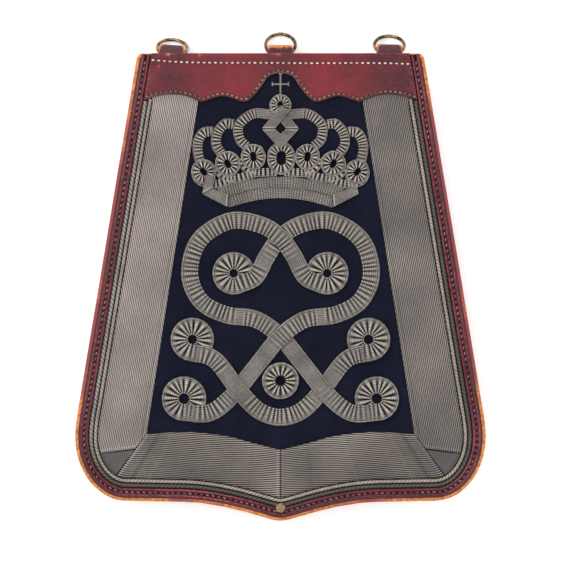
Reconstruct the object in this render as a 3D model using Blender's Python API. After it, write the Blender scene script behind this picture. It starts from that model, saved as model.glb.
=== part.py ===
"""A dress sabretache lying on its back, with the decorated front up.

The panel lies in the XY plane: +X is its right side, +Y points to the hanging rings and
+Z is the front. Sizes in the tables are millimetres. A "drop" is the distance from the
panel's top edge down its face, so a larger drop is a smaller y.
"""

from math import atan, cos, pi, radians, sin

import bmesh
import bpy
from mathutils import Matrix, Vector

MM = 0.001
SEAT = 0.3  # gap between pieces that touch

# Panel outline, for the right half
PANEL_LENGTH = 340.0
TOP_HALF_WIDTH = 104.0
TOP_CORNER = 3.5
SIDE_END = (146.0, 252.0)
WIDEST = (149.3, 279.0)
BOTTOM_START = (112.0, 325.5)
WAVE_START = (77.0, 326.2)
WAVE_HANDLES = ((38.0, 326.0), (10.0, 340.2))
RING_OVERHANG = 17.1
TOP_Y = (PANEL_LENGTH - RING_OVERHANG) / 2

# Layers, from the surface that the pouch rests on
POUCH_DEPTH = 21.9
WALL = 2.0
BOARD_BOTTOM = POUCH_DEPTH + SEAT
BOARD_TOP = BOARD_BOTTOM + 4.5
BOARD_ROUND = 1.0
CLOTH_THICK = 1.2
CLOTH_TOP = BOARD_TOP + SEAT + CLOTH_THICK
BRAID_THICK = 1.1
BRAID_DOME = 0.4
BRAID_BOTTOM = CLOTH_TOP + SEAT
CROSSING_LIFT = BRAID_THICK + BRAID_DOME + SEAT
ROSETTE_BOTTOM = BRAID_BOTTOM + CROSSING_LIFT + 0.1
ROSETTE_THICK = 1.5

# Edge bands, as insets from the panel's outline
STRIP_INSETS = (3.1, 9.9)
STRIP_THICK = 1.3
STRIP_RIDGE = 0.9
OUTER_CORD_INSET = 11.65
OUTER_CORD_RADIUS = 1.5
CLOTH_INSET = 13.5
INNER_CORD_INSET = 14.95
INNER_CORD_RADIUS = 1.2
LACE_INSET = 16.8
CORD_TOP = 34.4  # drop at which the cords' upper ends stop, just clear of the band

# Top band
BAND_THICK = 1.8
BAND_INSET = 10.3
BAND_LIP_BOTTOM = BOARD_BOTTOM + SEAT
SCALLOP = (  # half width, drop
    (0.0, 13.4),
    (9.0, 16.5),
    (14.4, 24.0),
    (20.6, 31.5),
    (27.0, 35.0),
    (42.0, 30.9),
    (57.4, 35.2),
)
SCALLOP_OUTER = ((57.4, 35.2), (78.0, 29.3), (100.0, 34.1))

# Laces, for the right half
LACE_THICK = 1.1
LACE_TOP = (59.8, 35.6)
LACE_TOP_OUTER = 36.0
MITRE_INNER = (97.2, 276.6)
MITRE_KNEE = (106.4, 287.4)
MITRE_OUTER = (118.7, 306.2)
LACE_FOOT = (131.0, 290.8)
LACE_GAP = 0.35
LACE_SEAM_GAP = 0.275  # from the middle line to each half's end
PATCH_CORNER = (108.0, 288.6)
PATCH_THICK = 0.8
PATCH_MARGIN = 0.06  # share of the outer edge that the patch leaves free at each end
PATCH_TIP = 0.02  # width of its inner end, as a share of its length
BOTTOM_LACE_TOP = (  # half width, drop
    (0.0, 288.3),
    (22.7, 282.5),
    (40.0, 278.0),
    (67.0, 275.2),
    (97.2, 276.6),
)

# Hanging tabs and rings: place across the panel, the ring's centre beyond the top edge,
# how far it leans down, the tab's reach beyond the edge, and the turn seen from above
RING_RADIUS = 10.85
RING_WIRE = 1.3
TABS = (  # name, x, ring reach, ring lean in degrees, tab reach, turn in degrees
    ("left", -79.6, 5.0, 52.0, 7.3, -4.0),
    ("centre", 0.0, 7.3, 38.5, 7.3, 0.0),
    ("right", 79.6, 7.1, 48.0, 7.6, -1.0),
)
TAB_ROOT = 22.0
TAB_PLY = 1.5
TAB_ROOT_HALF = 9.7
TAB_TIP_HALF = 8.9
TAB_LEVEL = BOARD_BOTTOM - SEAT - TAB_PLY
FOLD_GAP = 0.55
FOLD_RUN = 2.6  # length over which the tab closes to its fold
RING_GAP = RING_WIRE + 0.35

# Crown, for the right half; routes are centre lines
CROWN_BRAID = 7.4
BASE_BRAID = 7.1
CROSS = {"top": 14.2, "foot": 29.0, "bar": 22.6, "arm": 6.1, "stroke": 1.3}
CROWN_ARCHES = (  # name, (x, drop) of the points on its centre line
    ("inner", ((9.0, 44.4), (20.2, 44.3), (30.0, 52.0), (29.7, 62.0), (24.5, 68.0))),
    ("middle", ((35.4, 51.6), (40.5, 51.6), (45.8, 58.1), (46.7, 66.3), (43.0, 73.0))),
    ("outer", ((51.0, 57.0), (56.0, 57.9), (59.4, 63.2), (60.2, 70.5), (58.6, 78.5))),
)
DIAMOND = {"top": 46.2, "corner": (13.0, 55.1), "foot": 64.0, "opening": 0.3125}
CROWN_ROSETTES = (  # name, x, drop, radius, hole radius
    ("loop", 0.0, 75.4, 9.9, 3.0),
    ("inner", 19.6, 75.4, 9.0, 1.9),
    ("middle", 38.3, 80.5, 9.2, 1.9),
    ("outer", 55.8, 86.3, 9.0, 1.9),
)
ORB = (0.0, 38.0, 8.0, 1.9)
BASE_ROWS = (  # name, drop at the middle, x and drop of the end, of its centre line
    ("upper", 93.7, (46.5, 102.5)),
    ("lower", 101.5, (40.6, 109.0)),
)
BASE_BEND = 0.27  # share of a row's fall that it has reached half way to its end
BASE_END = ((50.4, 99.8), (54.4, 101.8))
BASE_END_BRAID = 8.4

# Knot ornament, in the place of the panel's main device
KNOT_BRAID = 12.8
LIFT_RUN = 12.0  # length over which a strand rises to a crossing
KNOT_STRAND = (  # (x, drop) of the left strand, from its lower rosette to its upper one
    (-71.0, 260.6),
    (-52.0, 261.5),
    (-36.0, 250.0),
    (-18.0, 228.0),
    (0.0, 206.0),
    (18.0, 193.5),
    (40.0, 190.0),
    (58.0, 180.0),
    (66.0, 160.0),
    (59.0, 136.0),
    (37.0, 122.0),
    (15.0, 124.5),
    (0.0, 134.0),
    (-10.0, 148.0),
    (-18.0, 162.5),
    (-31.0, 168.6),
)
KNOT_GARLAND = ((-63.0, 217.4), (-48.0, 222.5), (-31.0, 244.0), (-16.0, 259.5), (0.0, 264.5))
KNOT_ROSETTES = (  # name, x, drop, radius, hole radius
    ("lower", 70.0, 251.0, 16.3, 3.4),
    ("side", 64.0, 208.0, 15.6, 3.3),
    ("upper", 34.0, 160.0, 15.0, 3.3),
    ("middle", 0.0, 238.0, 13.4, 3.1),
)
BUTTON = (0.0, 330.3, 3.7, 3.0)  # x, drop, radius, height
SIDES = (("left", -1.0), ("right", 1.0))

COLOURS = {  # name: linear colour, roughness, metallic
    "pouch leather": ((0.10, 0.030, 0.030), 0.60, 0.0),
    "tan leather": ((0.55, 0.22, 0.08), 0.55, 0.0),
    "red leather": ((0.21, 0.035, 0.045), 0.42, 0.0),
    "blue cloth": ((0.009, 0.011, 0.024), 0.95, 0.0),
    "metal lace": ((0.28, 0.25, 0.21), 0.55, 0.5),
    "metal braid": ((0.27, 0.24, 0.21), 0.50, 0.5),
    "twisted cord": ((0.27, 0.28, 0.29), 0.70, 0.2),
    "old brass": ((0.34, 0.25, 0.13), 0.38, 0.9),
}


def at(x, drop, z):
    """The place, in metres, of a point on the panel."""
    return Vector((x, TOP_Y - drop, z)) * MM


def material(name):
    """The named material, made the first time that a piece asks for it."""
    found = bpy.data.materials.get(name)
    if found:
        return found
    colour, roughness, metallic = COLOURS[name]
    made = bpy.data.materials.new(name)
    made.use_nodes = True
    shader = made.node_tree.nodes["Principled BSDF"]
    shader.inputs["Base Color"].default_value = (*colour, 1.0)
    shader.inputs["Roughness"].default_value = roughness
    shader.inputs["Metallic"].default_value = metallic
    return made


def add_object(name, mesh_data, look):
    """Puts a mesh or a curve into the scene as one named piece."""
    mesh_data.materials.append(material(look))
    piece = bpy.data.objects.new(name, mesh_data)
    bpy.context.scene.collection.objects.link(piece)
    return piece


def finish(shape, name, look, smooth_angle=40.0):
    """Turns a bmesh into a smoothly shaded piece."""
    mesh = bpy.data.meshes.new(name)
    shape.to_mesh(mesh)
    shape.free()
    mesh.shade_smooth()
    mesh.set_sharp_from_angle(angle=radians(smooth_angle))
    return add_object(name, mesh, look)


def thicken(piece, thickness):
    """Gives a surface its thickness, behind the face that is seen."""
    solid = piece.modifiers.new("thickness", "SOLIDIFY")
    solid.thickness = thickness * MM
    solid.offset = -1.0
    solid.use_even_offset = True


def bent_grid(across, along, place):
    """A grid of cells, front up, that is put in place by place(u, w), both from 0 to 1."""
    shape = bmesh.new()
    bmesh.ops.create_grid(shape, x_segments=across, y_segments=along, size=0.5)
    for vertex in shape.verts:
        vertex.co = place(vertex.co.x + 0.5, vertex.co.y + 0.5)
    shape.normal_update()
    if sum(face.normal.z * face.calc_area() for face in shape.faces) < 0:
        bmesh.ops.reverse_faces(shape, faces=shape.faces[:])
    return shape


def sheet(name, look, across, along, place, thickness):
    """A bent grid with a thickness."""
    piece = finish(bent_grid(across, along, place), name, look)
    thicken(piece, thickness)


def plate(name, look, levels):
    """A solid plate whose outline passes through each level's closed loop of points."""
    shape = bmesh.new()
    cap = shape.faces.new([shape.verts.new(point) for point in levels[0]])
    for number, level in enumerate(levels[1:]):
        grown = bmesh.ops.extrude_face_region(shape, geom=[cap])["geom"]
        if number:
            bmesh.ops.delete(shape, geom=[cap], context="FACES_ONLY")
        cap = next(item for item in grown if isinstance(item, bmesh.types.BMFace))
        for vertex, point in zip(cap.verts, level):
            vertex.co = point
    bmesh.ops.recalc_face_normals(shape, faces=shape.faces[:])
    return finish(shape, name, look)


def bezier(points, steps):
    """Points along one cubic Bezier, without its first point."""
    start, out, back, end = (Vector(point) for point in points)
    route = []
    for step in range(1, steps + 1):
        t = step / steps
        route.append(
            start * (1 - t) ** 3 + out * 3 * t * (1 - t) ** 2 + back * 3 * t * t * (1 - t) + end * t**3
        )
    return route


def smooth_route(points, steps):
    """A smooth curve through the points, with the given number of steps between two of them."""
    knots = [Vector(point) for point in points]
    ends = [knots[0] * 2 - knots[1], *knots, knots[-1] * 2 - knots[-2]]
    route = [knots[0]]
    for before, start, end, after in zip(ends, ends[1:], ends[2:], ends[3:]):
        out = start + (end - before) / 6
        back = end - (after - start) / 6
        route += bezier((start, out, back, end), steps)
    return route


def mirrored(points):
    """A right half's points with its left half in front, sharing the middle point."""
    left = [Vector((-point.x, point.y)) for point in reversed(points)]
    return left[: -1 if abs(points[0].x) < 1e-6 else None] + list(points)


def sample(route, fraction):
    """The point that lies a fraction of the way along a route."""
    lengths = [(end - start).length for start, end in zip(route, route[1:])]
    left = max(0.0, min(1.0, fraction)) * sum(lengths)
    for start, end, length in zip(route, route[1:], lengths):
        if left <= length:
            return start.lerp(end, left / length)
        left -= length
    return route[-1].copy()


def normals(route):
    """A unit vector at each point of a flat route, to the right of its direction of travel."""
    found = []
    for index in range(len(route)):
        before = route[max(index - 1, 0)]
        after = route[min(index + 1, len(route) - 1)]
        along = (after - before).normalized()
        found.append(Vector((along.y, -along.x)))
    return found


def side_half_width(drop):
    """The panel's half width above its flared foot."""
    return TOP_HALF_WIDTH + (SIDE_END[0] - TOP_HALF_WIDTH) * drop / SIDE_END[1]


def edge_half():
    """The right half of the panel's edge, from the middle of the foot up to the top edge."""
    wave = bezier((WAVE_START, *WAVE_HANDLES, (0.0, PANEL_LENGTH)), 9)
    foot = [point for point in reversed(wave)]
    foot.append(Vector(WAVE_START))
    corner_x = WIDEST[0] - BOTTOM_START[0]
    corner_drop = BOTTOM_START[1] - WIDEST[1]
    corner = []
    for step in range(9):
        turn = pi / 2 * (1 - step / 8)
        corner.append(
            Vector((BOTTOM_START[0] + corner_x * cos(turn), WIDEST[1] + corner_drop * sin(turn)))
        )
    flare = bezier((WIDEST, (WIDEST[0], 270.0), (147.6, 261.0), SIDE_END), 3)
    side = [Vector((side_half_width(drop), drop)) for drop in (190.0, 126.0, 63.0, 0.0)]
    return foot + corner + flare + side


def inset_half(inset, top_drop):
    """The right half of the edge moved inwards, and cut off level at the given drop."""
    edge = edge_half()
    moved = []
    for point, outward in zip(edge, normals(edge)):
        shifted = point - outward * inset * (-1.0 if outward.x < 0 else 1.0)
        moved.append(shifted)
    moved[0] = Vector((0.0, PANEL_LENGTH - inset))
    slope = (SIDE_END[0] - TOP_HALF_WIDTH) / SIDE_END[1]
    moved[-1] = Vector((side_half_width(top_drop) - inset / cos(atan(slope)), top_drop))
    return moved


def inset_loop(inset, top_drop, z):
    """The closed outline of a layer that is inset from the panel's edge, at height z."""
    return [at(point.x, point.y, z) for point in mirrored(inset_half(inset, top_drop))]


def scallop_drop(x):
    """The drop of the band's scalloped edge at a distance from the middle."""
    distance = abs(x)
    if distance >= SCALLOP_OUTER[0][0]:
        start, crest, end = SCALLOP_OUTER
        side = end if distance > crest[0] else start
        reach = (distance - crest[0]) / (side[0] - crest[0])
        return crest[1] + (side[1] - crest[1]) * reach * reach
    route = smooth_route(SCALLOP, 4)
    for start, end in zip(route, route[1:]):
        if distance <= end.x:
            return start.y + (end.y - start.y) * (distance - start.x) / (end.x - start.x)
    return route[-1].y


def make_pouch():
    """The gusseted pocket behind the panel, with its mouth towards the rings."""
    mouth_drop = 28.0
    inset = 12.0
    crease = 3.0
    levels = (  # further inset, height
        (4.0, 0.0),
        (1.2, 0.9),
        (0.0, 3.6),
        (crease, POUCH_DEPTH / 2),
        (0.0, POUCH_DEPTH - 3.6),
        (1.2, POUCH_DEPTH - 0.9),
        (4.0, POUCH_DEPTH),
    )
    loops = [inset_loop(inset + more, mouth_drop, z) for more, z in levels]
    piece = plate("pouch", "pouch leather", loops)
    shape = bmesh.new()
    shape.from_mesh(piece.data)
    mouth_y = at(0.0, mouth_drop, 0.0).y
    mouth = [face for face in shape.faces if all(abs(v.co.y - mouth_y) < 1e-5 for v in face.verts)]
    bmesh.ops.delete(shape, geom=mouth, context="FACES")
    shape.to_mesh(piece.data)
    shape.free()
    thicken(piece, WALL)


def make_board():
    """The thick leather panel, cut back behind the band that folds over its top edge."""
    notch_half = side_half_width(0.0) - BAND_INSET + 0.4
    notch_drop = BAND_THICK + SEAT
    levels = (
        (BOARD_ROUND, BOARD_BOTTOM),
        (0.0, BOARD_BOTTOM + BOARD_ROUND),
        (0.0, BOARD_TOP - BOARD_ROUND),
        (BOARD_ROUND, BOARD_TOP),
    )
    loops = []
    for inset, z in levels:
        half = inset_half(inset, TOP_CORNER)
        shoulder = side_half_width(0.0) - inset
        half += [
            Vector((shoulder - TOP_CORNER * (1 - cos(pi / 4)), TOP_CORNER * (1 - sin(pi / 4)))),
            Vector((shoulder - TOP_CORNER, 0.0)),
            Vector((notch_half, 0.0)),
            Vector((notch_half, notch_drop)),
        ]
        loops.append([at(point.x, point.y, z) for point in mirrored(half)])
    plate("panel_board", "tan leather", loops)


def make_cloth():
    """The cloth face, which runs up under the band."""
    levels = (BOARD_TOP + SEAT, CLOTH_TOP)
    plate("cloth_field", "blue cloth", [inset_loop(CLOTH_INSET, 3.0, z) for z in levels])


def make_border_strip():
    """The edge strip: two ridges with the stitched groove between them."""
    inner_edge = mirrored(inset_half(STRIP_INSETS[1], 1.0))
    outer_edge = mirrored(inset_half(STRIP_INSETS[0], 1.0))
    last = len(inner_edge) - 1

    def place(u, w):
        index = round(w * last)
        point = outer_edge[index].lerp(inner_edge[index], u)
        ridge = STRIP_RIDGE * abs(sin(2 * pi * u)) ** 0.8
        return at(point.x, point.y, BOARD_TOP + SEAT + STRIP_THICK + ridge)

    shape = bent_grid(6, last, place)
    rims = [edge for edge in shape.edges if edge.is_boundary]
    walls = bmesh.ops.extrude_edge_only(shape, edges=rims)["geom"]
    for vertex in (item for item in walls if isinstance(item, bmesh.types.BMVert)):
        vertex.co.z = (BOARD_TOP + SEAT) * MM
    floor_edges = [edge for edge in shape.edges if edge.is_boundary]
    bmesh.ops.contextual_create(shape, geom=floor_edges)
    bmesh.ops.recalc_face_normals(shape, faces=shape.faces[:])
    finish(shape, "border_strip", "red leather", 60.0)


def make_cord(name, inset, radius, base_z):
    """A round cord that follows the panel's edge below the band."""
    route = mirrored(inset_half(inset, CORD_TOP))
    curve = bpy.data.curves.new(name, "CURVE")
    curve.dimensions = "3D"
    curve.bevel_depth = radius * MM
    curve.bevel_resolution = 2
    curve.use_fill_caps = True
    spline = curve.splines.new("POLY")
    spline.points.add(len(route) - 1)
    for point, place in zip(spline.points, route):
        point.co = (*at(place.x, place.y, base_z + radius), 1.0)
    add_object(name, curve, "twisted cord")


def make_top_band():
    """The scalloped band and the lip that folds over the panel's top edge."""
    front = BRAID_BOTTOM + BAND_THICK
    bend = ((0.0, front - BAND_THICK), (0.5, front - 0.5), (BAND_THICK, front))

    def place(u, w):
        row = round(w * 4)
        drop, z = ((0.0, BAND_LIP_BOTTOM), *bend, (None, front))[row]
        spread = 2 * u - 1
        if drop is None:
            drop = scallop_drop(spread * (side_half_width(34.0) - BAND_INSET))
        return at(spread * (side_half_width(drop) - BAND_INSET), drop, z)

    sheet("top_band", "red leather", 56, 4, place, BAND_THICK)


def lace_foot_drop(x):
    """The drop of the side lace's cut end at a distance from the middle."""
    ends = (MITRE_INNER, MITRE_KNEE) if x < MITRE_KNEE[0] else (MITRE_KNEE, LACE_FOOT)
    (x0, drop0), (x1, drop1) = ends
    return drop0 + (drop1 - drop0) * (x - x0) / (x1 - x0)


def part_of_route(route, start, end):
    """The stretch of a route between the points nearest to two places."""
    fine = [sample(route, step / 400) for step in range(401)]
    near_start = min(range(401), key=lambda i: (fine[i] - Vector(start)).length)
    near_end = min(range(401), key=lambda i: (fine[i] - Vector(end)).length)
    first, last = sorted((near_start, near_end))
    return fine[first : last + 1]


def make_laces(side, sign):
    """The side lace, the bottom lace and the corner patch of one half."""
    z = BRAID_BOTTOM + LACE_THICK
    outer = inset_half(LACE_INSET, LACE_TOP_OUTER)
    slope = (MITRE_INNER[0] - LACE_TOP[0]) / (MITRE_INNER[1] - LACE_TOP[1])
    side_outer = part_of_route(outer, LACE_FOOT, outer[-1])

    def side_place(u, w):
        foot_x = MITRE_INNER[0] + (LACE_FOOT[0] - MITRE_INNER[0]) * u
        foot = Vector((foot_x, lace_foot_drop(foot_x) - LACE_GAP))
        rim = side_outer[0].lerp(side_outer[-1], w) if u < 1 else sample(side_outer, w)
        drop = foot.y + (rim.y - side_outer[0].y)
        inner_x = LACE_TOP[0] + slope * (drop - LACE_TOP[1])
        x = inner_x + (rim.x - inner_x) * u
        top_drop = scallop_drop(x) + LACE_GAP + SEAT
        if w == 1.0:
            drop = top_drop
        return at(sign * x, max(drop, top_drop), z)

    sheet(f"lace_side_{side}", "metal lace", 4, 14, side_place, LACE_THICK)

    upper = smooth_route(BOTTOM_LACE_TOP, 5)
    lower = part_of_route(outer, outer[0], MITRE_OUTER)
    mitre = Vector(MITRE_OUTER) - Vector(MITRE_INNER)
    clearance = Vector((mitre.y, -mitre.x)).normalized() * LACE_GAP

    def bottom_place(u, w):
        start = sample(upper, w)
        end = sample(lower, w)
        point = start.lerp(end, u) - clearance * w
        return at(sign * (point.x + LACE_SEAM_GAP), point.y, z)

    sheet(f"lace_bottom_{side}", "metal lace", 4, 12, bottom_place, LACE_THICK)

    patch_rim = part_of_route(outer, MITRE_OUTER, LACE_FOOT)

    def patch_place(u, w):
        rim = sample(patch_rim, PATCH_MARGIN + (1 - 2 * PATCH_MARGIN) * w)
        point = Vector(PATCH_CORNER).lerp(rim, PATCH_TIP + (1 - PATCH_TIP) * u)
        return at(sign * point.x, point.y + LACE_GAP, BRAID_BOTTOM + PATCH_THICK)

    sheet(f"lace_corner_{side}", "metal lace", 2, 6, patch_place, PATCH_THICK)


def garland():
    """The garland's whole route, from left to right."""
    half = smooth_route(KNOT_GARLAND, 4)
    return half + [Vector((-point.x, point.y)) for point in reversed(half[:-1])]


def flip(route):
    """The route on the other side of the middle line."""
    return [Vector((-point.x, point.y)) for point in route]


def crossings(route, other):
    """How far along the first route, as fractions of its length, the second one crosses it."""
    total = sum((end - start).length for start, end in zip(route, route[1:]))
    found = []
    gone = 0.0
    for a, b in zip(route, route[1:]):
        for c, d in zip(other, other[1:]):
            step, across, offset = b - a, d - c, c - a
            area = step.x * across.y - step.y * across.x
            if abs(area) < 1e-9:
                continue
            t = (offset.x * across.y - offset.y * across.x) / area
            s = (offset.x * step.y - offset.y * step.x) / area
            if 0 <= t < 1 and 0 <= s < 1:
                found.append((gone + t * step.length) / total)
        gone += (b - a).length
    return sorted(found)


def braid(name, route, width, cells, over=()):
    """A flat braid along a route, lifted where it passes over another one."""
    total = sum((end - start).length for start, end in zip(route, route[1:]))
    stations = [sample(route, index / cells) for index in range(cells + 1)]
    sides = normals(stations)

    def place(u, w):
        index = round(w * cells)
        across = (0.5 - u) * width
        point = stations[index] + sides[index] * across
        lift = 0.0
        for fraction in over:
            away = abs(w - fraction) * total / LIFT_RUN
            lift = max(lift, min(1.0, max(0.0, 2.0 - away)))
        dome = BRAID_DOME * (1 - (2 * u - 1) ** 2)
        return at(point.x, point.y, BRAID_BOTTOM + BRAID_THICK + dome + lift * CROSSING_LIFT)

    sheet(name, "metal braid", 2, cells, place, BRAID_THICK)


def turned(name, look, profile, steps):
    """A turned piece from a closed profile of (radius, height) corners in millimetres."""
    shape = bmesh.new()
    corners = [shape.verts.new((MM * radius, 0.0, MM * height)) for radius, height in profile]
    rim = [shape.edges.new(pair) for pair in zip(corners, corners[1:] + corners[:1])]
    bmesh.ops.spin(
        shape,
        geom=corners + rim,
        cent=(0, 0, 0),
        axis=(0, 0, 1),
        angle=2 * pi,
        steps=steps,
        use_merge=True,
    )
    bmesh.ops.remove_doubles(shape, verts=shape.verts[:], dist=1e-6)
    bmesh.ops.recalc_face_normals(shape, faces=shape.faces[:])
    return finish(shape, name, look)


def make_rosette(name, x, drop, radius, hole):
    """A coiled braid rosette: a domed ring with a small eye."""
    width = radius - hole
    profile = (
        (hole, 0.0),
        (radius, 0.0),
        (radius, ROSETTE_THICK * 0.55),
        (hole + width * 0.75, ROSETTE_THICK),
        (hole + width * 0.2, ROSETTE_THICK * 0.9),
        (hole, ROSETTE_THICK * 0.45),
    )
    piece = turned(name, "metal braid", profile, 12)
    piece.location = at(x, drop, ROSETTE_BOTTOM)


def make_knot():
    """Two mirrored strands and a garland, woven over and under, with coiled ends."""
    left = smooth_route(KNOT_STRAND, 3)
    right = flip(left)
    low = garland()
    on_axis = crossings(left, right)
    with_garland = crossings(left, low)
    braid("knot_strand_left", left, KNOT_BRAID, 46, on_axis[0::2])
    braid("knot_strand_right", right, KNOT_BRAID, 46, on_axis[1::2] + with_garland)
    braid("knot_garland", low, KNOT_BRAID, 30, crossings(low, left))
    for name, x, drop, radius, hole in KNOT_ROSETTES:
        if x == 0.0:
            make_rosette(f"knot_rosette_{name}", x, drop, radius, hole)
            continue
        for side, sign in SIDES:
            make_rosette(f"knot_rosette_{name}_{side}", sign * x, drop, radius, hole)


def make_cross():
    """The small cross on the orb: two flat bars in one piece."""
    half = CROSS["stroke"] / 2
    outline = (
        (half, CROSS["foot"]),
        (half, CROSS["bar"] + half),
        (CROSS["arm"], CROSS["bar"] + half),
        (CROSS["arm"], CROSS["bar"] - half),
        (half, CROSS["bar"] - half),
        (half, CROSS["top"]),
    )
    points = [Vector(point) for point in outline]
    loop = [Vector((-point.x, point.y)) for point in reversed(points)] + points
    levels = (BRAID_BOTTOM, BRAID_BOTTOM + 0.9)
    plate("crown_cross", "metal braid", [[at(p.x, p.y, z) for p in loop] for z in levels])


def make_diamond():
    """The open diamond between the orb and the middle rosette."""
    corner_x, corner_drop = DIAMOND["corner"]
    outer = (
        (0.0, DIAMOND["top"]),
        (corner_x, corner_drop),
        (0.0, DIAMOND["foot"]),
        (-corner_x, corner_drop),
    )
    centre = Vector((0.0, corner_drop))
    inner = [centre + (Vector(point) - centre) * DIAMOND["opening"] for point in outer]
    loops = [(inner, BRAID_BOTTOM), (outer, BRAID_BOTTOM), (outer, BRAID_BOTTOM + BRAID_THICK)]
    loops += [(inner, BRAID_BOTTOM + BRAID_THICK)]
    shape = bmesh.new()
    rings = []
    for points, z in loops:
        corners = [shape.verts.new(at(*point, z)) for point in points]
        rings.append([shape.edges.new(pair) for pair in zip(corners, corners[1:] + corners[:1])])
    for ring, following in zip(rings, rings[1:] + rings[:1]):
        bmesh.ops.bridge_loops(shape, edges=ring + following)
    bmesh.ops.recalc_face_normals(shape, faces=shape.faces[:])
    finish(shape, "crown_diamond", "metal braid", 20.0)


def make_crown():
    """The traditional crown of flat braid above the knot."""
    make_cross()
    make_diamond()
    make_rosette("crown_orb", *ORB)
    for name, points in CROWN_ARCHES:
        route = smooth_route(points, 3)
        braid(f"crown_arch_{name}_left", flip(route), CROWN_BRAID, 11)
        braid(f"crown_arch_{name}_right", route, CROWN_BRAID, 11)
    for name, x, drop, radius, hole in CROWN_ROSETTES:
        if x == 0.0:
            make_rosette(f"crown_rosette_{name}", x, drop, radius, hole)
            continue
        for side, sign in SIDES:
            make_rosette(f"crown_rosette_{name}_{side}", sign * x, drop, radius, hole)
    for name, middle_drop, end in BASE_ROWS:
        half_way = (end[0] / 2, middle_drop + BASE_BEND * (end[1] - middle_drop))
        half = smooth_route(((0.0, middle_drop), half_way, end), 4)
        braid(f"crown_base_{name}", mirrored(half), BASE_BRAID, 14)
    for side, sign in SIDES:
        route = [Vector((sign * x, drop)) for x, drop in BASE_END]
        braid(f"crown_base_end_{side}", route, BASE_END_BRAID, 2)


def make_button():
    """The small knot that covers the cords at the tip."""
    x, drop, radius, height = BUTTON
    steps = 4
    dome = [
        (radius * cos(pi / 2 * step / steps), height * sin(pi / 2 * step / steps))
        for step in range(1, steps)
    ]
    piece = turned(
        "cord_button", "twisted cord", [(0.05, 0.0), (radius, 0.0), *dome, (0.05, height)], 14
    )
    piece.location = at(x, drop, BOARD_TOP + 2 * SEAT + 2 * OUTER_CORD_RADIUS + 0.1)


def tab_midline(ring_reach, lean, tab_reach):
    """The tab's middle line as (reach, z, half gap) rows, from its root to its fold."""
    ring_z = SEAT + RING_WIRE + RING_RADIUS * sin(lean)
    down = Vector((cos(lean), -sin(lean)))
    centre = Vector((ring_reach, ring_z))
    fold_reach = tab_reach - FOLD_GAP - TAB_PLY
    fold = centre + down * ((fold_reach - ring_reach) / cos(lean))
    ring_end = centre - down * RING_RADIUS
    root = Vector((-TAB_ROOT, TAB_LEVEL))
    bend_start = Vector((min(-10.5, ring_end.x - 6.0), TAB_LEVEL))
    reach = (ring_end - bend_start).length * 0.4
    rise = min(reach, (TAB_LEVEL - ring_end.y) / sin(lean))
    bend = bezier(
        (bend_start, bend_start + Vector((reach, 0.0)), ring_end - down * rise, ring_end), 6
    )
    rows = [(*root, 0.0), (*bend_start, 0.0)]
    for point, share in zip(bend, (0.0, 0.0, 0.25, 0.7, 1.0, 1.0)):
        rows.append((*point, RING_GAP * share))
    opened = fold - down * FOLD_RUN
    rows.append((*ring_end.lerp(opened, 0.5), RING_GAP))
    rows.append((*opened, RING_GAP))
    rows.append((*fold, FOLD_GAP))
    return rows


def hairpin(rows, ply):
    """The closed outline of a folded strap, as (reach, z) points, at a distance from its gap.

    Its upper ply lies flat where it would otherwise rise into the panel.
    """
    line = [Vector(row[:2]) for row in rows]
    sides = [-normal for normal in normals(line)]
    gaps = [row[2] + ply for row in rows]
    upper = [point + side * gap for point, side, gap in zip(line, sides, gaps)]
    for point in upper:
        point.y = min(point.y, TAB_LEVEL + ply)
    lower = [point - side * gap for point, side, gap in zip(line, sides, gaps)]
    along = Vector((sides[-1].y, -sides[-1].x))
    tip = []
    for step in range(1, 6):
        turn = pi / 2 - pi * step / 6
        tip.append(line[-1] + sides[-1] * gaps[-1] * sin(turn) + along * gaps[-1] * cos(turn))
    return upper + tip + lower[::-1]


def tab_body(name, look, outline, half_widths):
    """A bmesh piece: the outline drawn out from side to side, narrowing towards the fold."""
    root_half, tip_half = half_widths
    longest = max(point.x for point in outline)

    def loop(sign):
        points = []
        for point in outline:
            share = min(1.0, max(0.0, (point.x + 2.0) / (longest + 2.0)))
            half = root_half + (tip_half - root_half) * share
            points.append(Vector((sign * half, point.x, point.y)) * MM)
        return points

    return plate(name, look, [loop(-1.0), loop(1.0)])


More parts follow.
